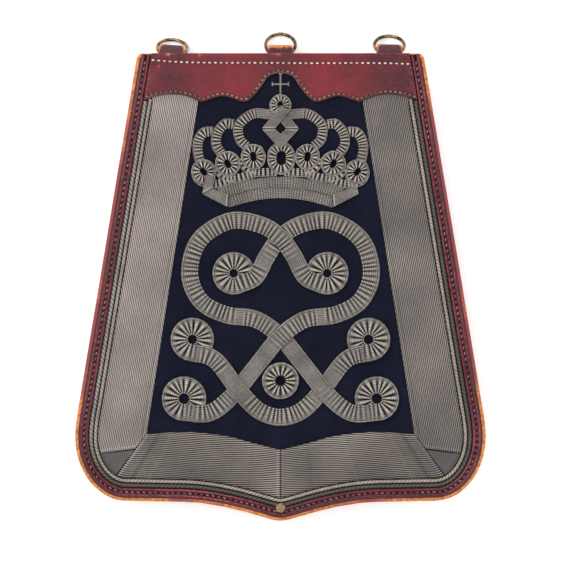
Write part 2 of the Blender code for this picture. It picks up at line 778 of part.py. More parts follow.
def make_hanger(side, x, ring_reach, lean_degrees, tab_reach, turn_degrees):
    """One leather loop under the panel's top edge and the ring that hangs in it."""
    lean = radians(lean_degrees)
    hanger = bpy.data.objects.new(f"hanger_{side}", None)
    bpy.context.scene.collection.objects.link(hanger)
    hanger.location = at(x, 0.0, 0.0)
    hanger.rotation_euler.z = radians(turn_degrees)

    rows = tab_midline(ring_reach, lean, tab_reach)
    halves = (TAB_ROOT_HALF, TAB_TIP_HALF)
    tab = tab_body(f"tab_{side}", "red leather", hairpin(rows, TAB_PLY), halves)
    opened = [row for row in rows if row[2] > 0.0]
    wide = (TAB_ROOT_HALF + 2.0, TAB_TIP_HALF + 2.0)
    cutter = tab_body(f"tab_{side}_gap", "red leather", hairpin(opened, 0.0), wide)
    cutter.hide_render = True
    cutter.display_type = "WIRE"
    cut = tab.modifiers.new("ring gap", "BOOLEAN")
    cut.operation = "DIFFERENCE"
    cut.solver = "EXACT"
    cut.object = cutter

    shape = bmesh.new()
    wire = bmesh.ops.create_circle(shape, segments=8, radius=RING_WIRE * MM)["verts"]
    upright = Matrix.Translation((RING_RADIUS * MM, 0, 0)) @ Matrix.Rotation(pi / 2, 4, "X")
    bmesh.ops.transform(shape, matrix=upright, verts=wire)
    bmesh.ops.spin(
        shape,
        geom=shape.verts[:] + shape.edges[:],
        cent=(0, 0, 0),
        axis=(0, 0, 1),
        angle=2 * pi,
        steps=24,
        use_merge=True,
    )
    bmesh.ops.recalc_face_normals(shape, faces=shape.faces[:])
    ring = finish(shape, f"ring_{side}", "old brass")
    ring.location = Vector((0.0, ring_reach, SEAT + RING_WIRE + RING_RADIUS * sin(lean))) * MM
    ring.rotation_euler.x = -lean
    for piece in (tab, cutter, ring):
        piece.parent = hanger


def main():
    """Builds every piece of the sabretache."""
    for old in list(bpy.data.objects):
        bpy.data.objects.remove(old, do_unlink=True)
    make_pouch()
    make_board()
    make_cloth()
    make_border_strip()
    make_cord("border_cord_outer", OUTER_CORD_INSET, OUTER_CORD_RADIUS, BOARD_TOP + SEAT)
    make_cord("border_cord_inner", INNER_CORD_INSET, INNER_CORD_RADIUS, CLOTH_TOP + SEAT)
    make_top_band()
    for side, sign in SIDES:
        make_laces(side, sign)
    make_crown()
    make_knot()
    make_button()
    for row in TABS:
        make_hanger(*row)


main()
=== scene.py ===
"""The looks of a dress sabretache that lies on its back: leather, laces, braid, cords and rings.

The panel lies in the XY plane, with +X its right side, +Y towards the hanging rings and +Z its
front. Sizes are millimetres. A "drop" is the distance down the face from the panel's top edge,
so a larger drop is a smaller y. A "tone" is a vertex attribute that the finishes read: 0.5 is a
sound surface, less is darker, and more is paler or worn.
"""

import logging
from collections.abc import Callable
from dataclasses import dataclass
from enum import Enum
from math import ceil, cos, exp, floor, hypot, pi, radians, sin, sqrt

import bmesh
import bpy
from mathutils import Matrix, Vector, noise


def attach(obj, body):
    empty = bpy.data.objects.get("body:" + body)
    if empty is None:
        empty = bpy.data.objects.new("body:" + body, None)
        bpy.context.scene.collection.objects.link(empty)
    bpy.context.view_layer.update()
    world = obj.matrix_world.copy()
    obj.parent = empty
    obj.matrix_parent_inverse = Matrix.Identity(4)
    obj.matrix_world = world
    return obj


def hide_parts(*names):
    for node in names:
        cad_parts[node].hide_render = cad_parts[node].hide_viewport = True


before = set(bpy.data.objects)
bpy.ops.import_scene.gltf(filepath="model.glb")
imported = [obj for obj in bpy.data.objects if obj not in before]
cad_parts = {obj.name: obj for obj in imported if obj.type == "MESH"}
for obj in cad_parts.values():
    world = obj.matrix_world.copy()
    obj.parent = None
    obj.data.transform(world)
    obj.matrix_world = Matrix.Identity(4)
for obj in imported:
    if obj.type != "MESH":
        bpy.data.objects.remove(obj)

LOG = logging.getLogger("sabretache")
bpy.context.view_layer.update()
MM = 0.001
BODY = "root"
SEAT = 0.3  # the gap between a piece and what carries it
SOUND = 0.5  # the tone of a surface without a mark
SIDES = (("left", -1.0), ("right", 1.0))
PANEL_MIDDLE = (0.0, 170.0)  # (x, drop)

Spot = tuple[Vector, tuple[float, float], float]  # place in metres, flat place in mm, tone
Placer = Callable[[int, int], Spot]
BarPlacer = Callable[[float, int, bool], Spot]
Lift = Callable[[float, float], float]
Pair = tuple[float, float]


def smooth_step(low: float, high: float, value: float) -> float:
    """0 below low, 1 above high, with a soft change between them."""
    share = min(1.0, max(0.0, (value - low) / (high - low)))
    return share * share * (3 - 2 * share)


def hump(away: float, width: float) -> float:
    """1 in the middle of a soft line, and next to nothing beyond twice its width."""
    return exp(-((away / width) ** 2))


@dataclass(frozen=True)
class Mark:
    """A soft line or spot: what it adds in its middle, and how wide it is."""

    amount: float
    width: float

    def at(self, away: float) -> float:
        """What it adds at a distance from its middle."""
        return self.amount * hump(away, self.width)


@dataclass(frozen=True)
class Ripple:
    """Smooth unevenness: how strong it is, how often it changes per mm each way, and which."""

    amount: float
    per_x: float
    per_y: float
    pattern: float = 0.0

    def at(self, x: float, y: float, further: float = 0.0) -> float:
        """What it adds at a place; further moves on towards another pattern."""
        return self.amount * noise.noise(Vector((x * self.per_x, y * self.per_y, self.pattern + further)))


@dataclass(frozen=True)
class PanelShape:
    """The panel's outline and the heights of its layers, as the solids have them."""

    length: float = 340.0
    top_half: float = 104.0
    top_corner: float = 3.5
    side_end: Pair = (146.0, 252.0)  # (x, drop) at which the straight side ends
    flare: tuple[Pair, ...] = ((149.3, 270.0), (147.6, 261.0))
    widest: Pair = (149.3, 279.0)
    bottom_start: Pair = (112.0, 325.5)
    wave: tuple[Pair, ...] = ((77.0, 326.2), (38.0, 326.0), (10.0, 340.2), (0.0, 340.0))
    wave_steps: int = 44
    corner_steps: int = 40
    flare_steps: int = 12
    side_steps: int = 6
    top_y: float = 161.45
    pouch_depth: float = 21.9
    board_bottom: float = 22.2
    board_top: float = 26.7
    cloth_top: float = 28.2
    braid_bottom: float = 28.5
    crossing_lift: float = 1.8
    rosette_bottom: float = 30.4

    def at(self, x: float, drop: float, z: float) -> Vector:
        """The place, in metres, of a point on the panel."""
        return Vector((x, self.top_y - drop, z)) * MM

    @property
    def side_lean(self) -> float:
        """How much wider the panel gets with each mm of its straight sides."""
        return (self.side_end[0] - self.top_half) / self.side_end[1]

    def side_half(self, drop: float) -> float:
        """The panel's half width above its flared foot."""
        return self.top_half + (self.side_end[0] - self.top_half) * drop / self.side_end[1]

    def edge_half(self) -> list[Vector]:
        """The right half of the edge, from the middle of the foot up to the top edge.

        Returns:
            Points (x, drop).
        """
        edge = bezier(self.wave[::-1], self.wave_steps)
        corner_x = self.widest[0] - self.bottom_start[0]
        corner_drop = self.bottom_start[1] - self.widest[1]
        for step in range(self.corner_steps + 1):
            turn = pi / 2 * (1 - step / self.corner_steps)
            x = self.bottom_start[0] + corner_x * cos(turn)
            edge.append(Vector((x, self.widest[1] + corner_drop * sin(turn))))
        edge += bezier((self.widest, *self.flare, self.side_end), self.flare_steps)[1:]
        for step in range(self.side_steps - 1, -1, -1):
            drop = self.side_end[1] * step / self.side_steps
            edge.append(Vector((self.side_half(drop), drop)))
        return edge

    def inset_half(self, inset: float, top_drop: float) -> list[Vector]:
        """The right half of the edge moved inwards and cut off level.

        Args:
            inset: how far the edge moves inwards, in mm.
            top_drop: the drop of the level cut.

        Returns:
            Points (x, drop) from the middle of the foot up the right side.
        """
        edge = self.edge_half()
        moved = [point - outward * inset for point, outward in zip(edge, normals(edge))]
        moved[0] = Vector((0.0, self.length - inset))
        moved = [point for point in moved if point.y > top_drop + 0.5]
        end_x = self.side_half(top_drop) - inset * sqrt(1 + self.side_lean**2)
        return moved + [Vector((end_x, top_drop))]


def bezier(points: tuple, steps: int) -> list[Vector]:
    """Points along one cubic Bezier, both ends included.

    Args:
        points: its start, two handles and end.
        steps: how many equal steps it takes.

    Returns:
        The points, one more than the steps.
    """
    start, out, back, end = (Vector(point) for point in points)
    shares = [step / steps for step in range(steps + 1)]
    return [
        start * (1 - t) ** 3 + out * 3 * t * (1 - t) ** 2 + back * 3 * t * t * (1 - t) + end * t**3
        for t in shares
    ]


def smooth_route(points: tuple, steps: int = 12) -> list[Vector]:
    """A smooth curve through the points.

    Args:
        points: (x, drop) pairs that it passes through.
        steps: the steps between two of them.

    Returns:
        The curve's points.
    """
    knots = [Vector(point) for point in points]
    ends = [knots[0] * 2 - knots[1], *knots, knots[-1] * 2 - knots[-2]]
    route = [knots[0]]
    for before, start, end, after in zip(ends, ends[1:], ends[2:], ends[3:]):
        route += bezier((start, start + (end - before) / 6, end - (after - start) / 6, end), steps)[1:]
    return route


def mirrored(points: list[Vector]) -> list[Vector]:
    """A right half's points with its left half in front, sharing the middle point."""
    left = [Vector((-point.x, point.y)) for point in reversed(points)]
    return left[: -1 if abs(points[0].x) < 1e-6 else None] + list(points)


def flip(points: list[Vector]) -> list[Vector]:
    """The route on the other side of the middle line."""
    return [Vector((-point.x, point.y)) for point in points]


def both_sides(points: tuple) -> tuple[tuple[str, list[Vector]], ...]:
    """A smooth route through a right side's points, for the left side and for the right."""
    route = smooth_route(points)
    return (("left", flip(route)), ("right", route))


def normals(route: list[Vector]) -> list[Vector]:
    """The direction square to a route at each of its points.

    Args:
        route: its points.

    Returns:
        Unit vectors, which point outwards from the panel's right edge.
    """
    found = []
    last = len(route) - 1
    for index in range(len(route)):
        along = (route[min(index + 1, last)] - route[max(index - 1, 0)]).normalized()
        found.append(Vector((-along.y, along.x)))
    return found


def crossings(route: list[Vector], other: list[Vector]) -> list[float]:
    """Where a second route crosses a first one.

    Args:
        route: the first one's points.
        other: the second one's points.

    Returns:
        How far along the first one, as shares of its length.
    """
    total = sum((end - start).length for start, end in zip(route, route[1:]))
    found = []
    gone = 0.0
    for a, b in zip(route, route[1:]):
        for c, d in zip(other, other[1:]):
            step, across, offset = b - a, d - c, c - a
            area = step.x * across.y - step.y * across.x
            if abs(area) < 1e-9:
                continue
            t = (offset.x * across.y - offset.y * across.x) / area
            s = (offset.x * step.y - offset.y * step.x) / area
            if 0 <= t < 1 and 0 <= s < 1:
                found.append((gone + t * step.length) / total)
        gone += (b - a).length
    return sorted(found)


class Path:
    """A flat route at an even step, with its sideways direction and its bend at each point."""

    BEND_REACH = 7.5  # mm each way over which a bend is measured

    def __init__(self, route: list[Vector], step: float) -> None:
        """Resamples the route.

        Args:
            route: its points, (x, drop) in mm.
            step: the wanted distance between two points, in mm.
        """
        spans = [(end - start).length for start, end in zip(route, route[1:])]
        self.length = sum(spans)
        self.cells = max(2, ceil(self.length / step))
        self.points = []
        index, gone = 0, 0.0
        for number in range(self.cells + 1):
            want = self.length * number / self.cells
            while index < len(spans) - 1 and gone + spans[index] < want:
                gone += spans[index]
                index += 1
            share = (want - gone) / spans[index] if spans[index] else 0.0
            self.points.append(route[index].lerp(route[index + 1], min(1.0, share)))
        self.sides = normals(self.points)
        self.step = self.length / self.cells
        self.bends = self.smoothed_bends(max(1, round(self.BEND_REACH / self.step)))

    def smoothed_bends(self, reach: int) -> list[float]:
        """The bend towards the sideways direction at each point, over a stretch each way.

        Args:
            reach: how many points each way the stretch has.

        Returns:
            One number per point, in 1/mm: above 0 where the sideways direction is inside.
        """
        last = self.cells
        bends = []
        for index in range(last + 1):
            low, high = max(0, index - reach), min(last, index + reach)
            turn = self.sides[high].angle_signed(self.sides[low], 0.0)
            bends.append(turn / max(self.step * (high - low), 1e-6))
        return bends

    def at(self, index: int, across: float) -> Vector:
        """The point beside the route, a distance along its sideways direction."""
        return self.points[index] + self.sides[index] * across

    def along(self, index: int) -> Vector:
        """The direction of the route at a point."""
        after, before = self.points[min(index + 1, self.cells)], self.points[max(index - 1, 0)]
        return (after - before).normalized()


def linear(code: str) -> tuple[float, float, float, float]:
    """A linear colour from an sRGB hex code.

    Args:
        code: the colour, such as "#6a1b26".

    Returns:
        Red, green, blue and a full alpha.
    """
    parts = [int(code[place : place + 2], 16) / 255 for place in (1, 3, 5)]
    red, green, blue = (c / 12.92 if c <= 0.04045 else ((c + 0.055) / 1.055) ** 2.4 for c in parts)
    return (red, green, blue, 1.0)


def per_mm(size: float) -> float:
    """A texture's scale for a pattern of this size in mm."""
    return 1 / (size * MM)


class Recipe:
    """A material being made: its nodes, and the shader they end in."""

    def __init__(self, name: str, **sockets: float) -> None:
        """Starts a material.

        Args:
            name: the finish's plain name.
            **sockets: constant values of the shader, with _ for a space in a socket's name.
        """
        self.material = bpy.data.materials.new(name)
        self.material.use_nodes = True
        self.tree = self.material.node_tree
        self.shader = self.tree.nodes["Principled BSDF"]
        for socket, value in sockets.items():
            self.shader.inputs[socket.replace("_", " ")].default_value = value

    def add(self, kind: str, inputs: dict | None = None, output: int | str = 0, **settings: object) -> object:
        """Adds one node with its settings and links.

        Args:
            kind: the node's type, without its prefix.
            inputs: a value or another node's output for each named or numbered socket.
            output: the socket to hand back.
            **settings: the node's own options.

        Returns:
            The wanted output socket.
        """
        node = self.tree.nodes.new(f"ShaderNode{kind}")
        for option, value in settings.items():
            setattr(node, option, value)
        for socket, value in (inputs or {}).items():
            if isinstance(value, bpy.types.NodeSocket):
                self.tree.links.new(value, node.inputs[socket])
            else:
                node.inputs[socket].default_value = value
        return node.outputs[output]

    def lay(
        self, colour: object, paint: str, value: object, low: float, high: float, most: float = 1.0
    ) -> object:
        """Lays a paint over a colour: none of it where the value is low, most of it where it is high."""
        share = self.add("MapRange", {0: value, 1: low, 2: high, 4: most})
        return self.add("Mix", {0: share, 6: colour, 7: linear(paint)}, 2, data_type="RGBA")

    def shade(self, colour: object, value: object, spread: Pair, light: Pair) -> object:
        """Darkens or lightens a colour by a value that changes over the surface.

        Args:
            colour: the colour's socket.
            value: the socket of the value.
            spread: the value's lower and upper end.
            light: what the colour is multiplied by at these ends.

        Returns:
            The socket of the new colour.
        """
        factor = self.add("MapRange", {0: value, 1: spread[0], 2: spread[1], 3: light[0], 4: light[1]})
        inputs = {0: 1.0, 6: colour, 7: factor}
        return self.add("Mix", inputs, 2, data_type="RGBA", blend_type="MULTIPLY")

    def finish(
        self, colour: object, height: object | None, depth: float, roughness: object | None = None
    ) -> bpy.types.Material:
        """Links the colour, the bumps and the roughness to the shader.

        Args:
            colour: the base colour's socket.
            height: the socket of the bumps' height, from 0 to 1, or None.
            depth: how deep the bumps are, in mm.
            roughness: the roughness socket, where it changes over the surface.

        Returns:
            The finished material.
        """
        self.tree.links.new(colour, self.shader.inputs["Base Color"])
        if height is not None:
            bump = self.add("Bump", {"Height": height, "Distance": depth * MM, "Strength": 1.0})
            self.tree.links.new(bump, self.shader.inputs["Normal"])
        if roughness is not None:
            self.tree.links.new(roughness, self.shader.inputs["Roughness"])
        return self.material


@dataclass(frozen=True)
class MoroccoLeather:
    """Goatskin dyed red and glazed by hand: a fine pebbled grain with soft worn places, painted highlights and painted
    shade.
    """

    name: str
    colour: str
    deep: str
    worn: str
    bare: str = "#d98443"  # the undyed hide where the dye has rubbed off
    # the painted highlights: their red, their strength and their place
    lit: str = "#801c27"  # the brighter red to both sides of the middle
    bright: float = 0.0  # how much of it there is
    bright_x: float = 36.0
    bright_reach: float = 34.0
    grain_mm: float = 0.9
    crease_mm: float = 2.2
    cloud_mm: float = 21.0
    grain_depth: float = 0.05
    roughness: float = 0.5
    shine: float = 0.3
    grain_wear: float = 0.55  # how much the creases break up the edge of a rubbed place

    def build(self) -> bpy.types.Material:
        """Makes the finish: clouded dye, worn on the grain and rubbed off where the tone is high, and darkened as
        painted shade where it is low.

        Returns:
            The material.
        """
        made = Recipe(self.name, IOR=1.5, Specular_IOR_Level=self.shine)
        place = made.add("TexCoord", output="Object")
        tone = made.add("Attribute", output="Fac", attribute_name="tone")
        grain = made.add("TexVoronoi", {0: place, "Scale": per_mm(self.grain_mm)}, feature="SMOOTH_F1")
        fine = {0: place, "Scale": per_mm(self.crease_mm), "Detail": 6.0, "Roughness": 0.65}
        creases = made.add("TexNoise", fine)
        clouds = made.add("TexNoise", {0: place, "Scale": per_mm(self.cloud_mm), "Detail": 4.0})
        colour = made.lay(linear(self.deep), self.colour, clouds, low=0.32, high=0.70)
        # painted highlights: a brighter red to both sides of the middle
        if self.bright:
            colour = self.paint_highlights(made, colour, place, clouds)
        colour = made.lay(colour, self.worn, creases, low=0.40, high=0.72, most=0.3)
        rubbed = made.add("Math", {0: creases, 1: self.grain_wear, 2: tone}, operation="MULTIPLY_ADD")
        colour = made.lay(colour, self.worn, rubbed, low=0.835, high=1.015)
        colour = made.lay(colour, self.bare, rubbed, low=0.995, high=1.195)
        # painted shade where the tone is below sound
        colour = made.shade(colour, tone, (0.0, SOUND), (0.22, 1.0))
        low_relief = made.add("Math", {0: creases, 1: 0.5}, operation="MULTIPLY")
        height = made.add("Math", {0: grain, 1: 0.7, 2: low_relief}, operation="MULTIPLY_ADD")
        rough = made.add("MapRange", {0: creases, 3: self.roughness - 0.1, 4: self.roughness + 0.14})
        return made.finish(colour, height, self.grain_depth, rough)

    def paint_highlights(self, made: Recipe, colour: object, place: object, clouds: object) -> object:
        """Paints the highlights: brighter patches to both sides of the middle.

        Args:
            made: the material.
            colour: the colour's socket.
            place: the socket of the place on the object.
            clouds: the socket of the clouds, which break the patches up.

        Returns:
            The socket of the new colour.
        """
        sideways = made.add("SeparateXYZ", {0: place})
        distance = made.add("Math", {0: sideways}, operation="ABSOLUTE")
        past = made.add("Math", {0: distance, 1: self.bright_x * MM}, operation="SUBTRACT")
        off = made.add("Math", {0: past}, operation="ABSOLUTE")
        glow = made.add("MapRange", {0: off, 1: self.bright_reach * MM, 2: 0.0, 4: self.bright})
        broken = made.add("MapRange", {0: clouds, 1: 0.25, 2: 0.6, 3: 0.45})
        share = made.add("Math", {0: glow, 1: broken}, operation="MULTIPLY")
        return made.add("Mix", {0: share, 6: colour, 7: linear(self.lit)}, 2, data_type="RGBA")


@dataclass(frozen=True)
class CutLeather:
    """The cut and waxed edge of thick saddle leather: tan fibres, stained dark in patches."""

    name: str = "tan_cut_leather"
    colour: str = "#a9552a"
    pale: str = "#e28f44"
    stained: str = "#8e3636"
    dyed: str = "#5c161e"
    fibre_mm: float = 2.4
    stain_mm: float = 34.0

    def build(self) -> bpy.types.Material:
        """Makes the finish: a tone of 0.3 is dyed, and one of 0 lies in shadow.

        Returns:
            The material.
        """
        made = Recipe(self.name, IOR=1.5, Roughness=0.55)
        place = made.add("TexCoord", output="Object")
        wide = {0: place, "Scale": per_mm(self.stain_mm), "Detail": 5.0, "Roughness": 0.6}
        stains = made.add("TexNoise", wide)
        fibres = made.add("TexNoise", {0: place, "Scale": per_mm(self.fibre_mm), "Detail": 5.0})
        y = made.add("SeparateXYZ", {0: place}, output=1)
        x = made.add("SeparateXYZ", {0: place}, output=0)
        above = made.add("Math", {0: y, 1: 20 * MM}, operation="SUBTRACT")
        off_middle = made.add("Math", {0: above}, operation="ABSOLUTE")
        sides = made.add("MapRange", {0: off_middle, 1: 130 * MM, 2: 80 * MM, 3: -0.14, 4: 0.2})
        aside = made.add("Math", {0: x}, operation="ABSOLUTE")
        past = made.add("Math", {0: aside, 1: 55 * MM}, operation="SUBTRACT")
        off_wave = made.add("Math", {0: past}, operation="ABSOLUTE")
        wave = made.add("MapRange", {0: off_wave, 1: 45 * MM, 2: 20 * MM, 4: 0.22})
        more = made.add("Math", {0: sides, 1: wave}, operation="ADD")
        spread = made.add("Math", {0: stains, 1: more}, operation="ADD")
        tone = made.add("Attribute", output="Fac", attribute_name="tone")
        colour = made.lay(linear(self.colour), self.pale, fibres, low=0.36, high=0.62)
        colour = made.lay(colour, self.stained, spread, low=0.46, high=0.66)
        colour = made.lay(colour, self.dyed, tone, low=0.45, high=0.3)
        colour = made.shade(colour, tone, (0.0, 0.3), (0.06, 1.0))
        return made.finish(colour, fibres, 0.15)


@dataclass(frozen=True)
class FulledCloth:
    """Wool broadcloth, woven, fulled and raised: a dense dark blue nap that hides its threads."""

    name: str = "blue_broadcloth"
    colour: str = "#0a0c1b"
    lint: str = "#282b41"
    nap_mm: float = 0.7  # drawn coarser than the real fibre, which is too fine to show
    brushed_mm: float = 18.0

    def build(self) -> bpy.types.Material:
        """Makes the finish: a speckled nap with a soft sheen.

        Returns:
            The material.
        """
        made = Recipe(self.name, Roughness=0.95, Sheen_Weight=0.02, Sheen_Roughness=0.5, Specular_IOR_Level=0.12)
        place = made.add("TexCoord", output="Object")
        fuzz = {0: place, "Scale": per_mm(self.nap_mm), "Detail": 4.0, "Roughness": 0.7}
        nap = made.add("TexNoise", fuzz)
        brushed = made.add("TexNoise", {0: place, "Scale": per_mm(self.brushed_mm), "Detail": 3.0})
        colour = made.lay(linear(self.colour), self.lint, nap, low=0.4, high=0.72, most=0.55)
        colour = made.shade(colour, brushed, (0.3, 0.7), (0.75, 1.2))
        return made.finish(colour, nap, 0.3)


class Lean(Enum):
    """Which way the ribs of a woven lace run down its flat map."""

    DOWN_RIGHT = -1
    DOWN_LEFT = 1
    STRAIGHT = 0


@dataclass(frozen=True)
class WireWeave:
    """The weave that the lace and the braid share: ribs of wire, broken into short dashes."""

    rib_mm: float = 1.55
    dash_mm: float = 15.0
    contrast: float = 1.0
    broken: float = 0.4  # how much the dashes differ from each other
    lean: Lean = Lean.STRAIGHT
    lean_degrees: float = 12.0
    wander_mm: float = 0.8  # how far a rib strays from its line
    wander_size: float = 14.0

    def height(self, made: Recipe) -> object:
        """The weave's height, from 0 to 1, over the piece's flat map.

        Args:
            made: the material that the nodes go into.

        Returns:
            The socket of the height.
        """
        flat = made.add("UVMap", uv_map="flat")
        angle = radians(self.lean_degrees * self.lean.value)
        turned = made.add("Mapping", {"Vector": flat, "Rotation": (0.0, 0.0, angle)})
        place = made.add("TexCoord", output="Object")
        stray = made.add("TexNoise", {0: place, "Scale": per_mm(self.wander_size), "Detail": 2.0})
        level = made.add("SeparateXYZ", {0: turned}, output=1)
        across = made.add("Math", {0: stray, 1: self.wander_mm, 2: level}, operation="MULTIPLY_ADD")
        turns = made.add("Math", {0: across, 1: 2 * pi / self.rib_mm}, operation="MULTIPLY")
        rib = made.add("Math", {0: turns}, operation="SINE")
        stretch = (1 / self.dash_mm, 1 / self.rib_mm, 1.0)
        stretched = made.add("Mapping", {"Vector": turned, "Scale": stretch})
        dashes = made.add("TexNoise", {0: stretched, "Scale": 1.0, "Detail": 3.0, "Roughness": 0.7})
        half = {0: rib, 1: 0.5 * self.contrast, 2: 0.5 - 0.5 * self.broken}
        ribs = made.add("Math", half, operation="MULTIPLY_ADD")
        inputs = {0: dashes, 1: self.broken, 2: ribs}
        return made.add("Math", inputs, operation="MULTIPLY_ADD", use_clamp=True)


@dataclass(frozen=True)
class MetalLace:
    """Lace woven from silvered wire on silk, now grey: fine twilled ribs, broken into dashes."""

    name: str
    weave: WireWeave
    light: str
    mid: str
    dark: str
    tarnish_mm: float = 46.0

    def build(self) -> bpy.types.Material:
        """Makes the finish: ribs by the piece's flat map, whose second number is across the ribs.

        Returns:
            The material.
        """
        made = Recipe(self.name, Metallic=0.2, Roughness=0.5, Specular_IOR_Level=0.4)
        place = made.add("TexCoord", output="Object")
        height = self.weave.height(made)
        wide = {0: place, "Scale": per_mm(self.tarnish_mm), "Detail": 5.0, "Roughness": 0.6}
        tarnish = made.add("TexNoise", wide)
        body = made.lay(linear(self.mid), self.light, tarnish, low=0.3, high=0.7)
        colour = made.add("Mix", {0: height, 6: linear(self.dark), 7: body}, 2, data_type="RGBA")
        tone = made.add("Attribute", output="Fac", attribute_name="tone")
        colour = made.shade(colour, tone, (0.0, 1.0), (0.35, 1.65))
        return made.finish(colour, height, 0.25)


@dataclass(frozen=True)
class MetalBraid:
    """Flat braid of silvered wire, sewn down in pleats: crests with painted highlights over folds darkened partly by
    tarnish and partly as painted shade.
    """

    name: str = "silver_braid"
    light: str = "#dcd0c2"
    mid: str = "#8a837d"
    dull: str = "#67625e"
    dark: str = "#191614"
    weave: WireWeave = WireWeave(rib_mm=1.3, dash_mm=2.4, contrast=0.75, broken=1.3)
    tarnish_mm: float = 17.0

    def build(self) -> bpy.types.Material:
        """Makes the finish: ribs along the strap, by the piece's flat map, and its tone for the painted highlights and
        shade of the folds.

        Returns:
            The material.
        """
        made = Recipe(self.name, Metallic=0.2, Roughness=0.46, Specular_IOR_Level=0.4)
        place = made.add("TexCoord", output="Object")
        height = self.weave.height(made)
        tarnish = made.add("TexNoise", {0: place, "Scale": per_mm(self.tarnish_mm), "Detail": 4.0})
        tone = made.add("Attribute", output="Fac", attribute_name="tone")
        colour = made.lay(linear(self.dull), self.mid, tarnish, low=0.3, high=0.72)
        colour = made.lay(colour, self.light, tone, low=SOUND, high=0.9)
        colour = made.lay(colour, self.dark, height, low=0.66, high=0.12, most=0.72)
        colour = made.lay(colour, self.dark, tone, low=SOUND, high=0.12)
        return made.finish(colour, height, 0.2)


@dataclass(frozen=True)
class TwistedCord:
    """Cord of two wire-wrapped strands twisted hard together: grey, with painted shade in the lines between them."""

    name: str
    light: str
    right_foot_colour: str  # its colour along the right side and the foot
    dark: str = "#1d1b1a"
    dirt_mm: float = 13.0
    wrap_mm: float = 1.1

    def build(self) -> bpy.types.Material:
        """Makes the finish: its tone is low in the furrow between the strands, where the dark colour paints shade.

        Returns:
            The material.
        """
        made = Recipe(self.name, Metallic=0.2, Roughness=0.55)
        place = made.add("TexCoord", output="Object")
        tone = made.add("Attribute", output="Fac", attribute_name="tone")
        dirt = made.add("TexNoise", {0: place, "Scale": per_mm(self.dirt_mm), "Detail": 4.0})
        wraps = made.add("TexNoise", {0: place, "Scale": per_mm(self.wrap_mm), "Detail": 3.0})
        x = made.add("SeparateXYZ", {0: place}, output=0)
        y = made.add("SeparateXYZ", {0: place}, output=1)
        right = made.add("MapRange", {0: x, 1: -80 * MM, 2: 20 * MM})
        foot = made.add("MapRange", {0: y, 1: -112 * MM, 2: -148 * MM})
        side_shift = made.add("Math", {0: right, 1: foot}, operation="MAXIMUM")
        colour = made.lay(linear(self.light), self.right_foot_colour, side_shift, low=0.0, high=1.0)
        colour = made.lay(colour, self.dark, dirt, low=0.4, high=0.75, most=0.4)
        colour = made.lay(colour, self.dark, wraps, low=0.48, high=0.7, most=0.5)
        colour = made.lay(colour, self.dark, tone, low=0.45, high=0.1, most=0.62)
        return made.finish(colour, wraps, 0.12)


@dataclass(frozen=True)
class OldBrass:
    """Drawn brass wire, bent and brazed to a ring: a dull yellow-brown skin, bright where it rubs."""

    name: str = "old_brass"
    colour: str = "#a38d68"
    tarnish: str = "#3b2f24"
    patch_mm: float = 5.0
    scratch_mm: float = 0.7

    def build(self) -> bpy.types.Material:
        """Makes the finish: patches of brown tarnish on worn metal.

        Returns:
            The material.
        """
        made = Recipe(self.name, Metallic=1.0)
        place = made.add("TexCoord", output="Object")
        blotchy = {0: place, "Scale": per_mm(self.patch_mm), "Detail": 6.0, "Roughness": 0.6}
        patches = made.add("TexNoise", blotchy)
        scratches = made.add("TexNoise", {0: place, "Scale": per_mm(self.scratch_mm), "Detail": 3.0})
        colour = made.lay(linear(self.colour), self.tarnish, patches, low=0.38, high=0.6)
        rough = made.add("MapRange", {0: patches, 3: 0.25, 4: 0.55})
        return made.finish(colour, scratches, 0.05, rough)


@dataclass(frozen=True)
class LinenThread:
    """Waxed linen thread, sewn tight: short pale stitches with the line of their twist."""

    name: str
    colour: str
    worn: str
    dirt_mm: float = 7.0
    twist_mm: float = 0.5

    def build(self) -> bpy.types.Material:
        """Makes the finish: two thread colours and a fine twist.

        Returns:
            The material.
        """
        made = Recipe(self.name, Roughness=0.7)
        place = made.add("TexCoord", output="Object")
        dirt = made.add("TexNoise", {0: place, "Scale": per_mm(self.dirt_mm), "Detail": 3.0})
        twist = made.add("TexNoise", {0: place, "Scale": per_mm(self.twist_mm), "Detail": 2.0})
        colour = made.lay(linear(self.colour), self.worn, dirt, low=0.4, high=0.65)
        return made.finish(colour, twist, 0.1)


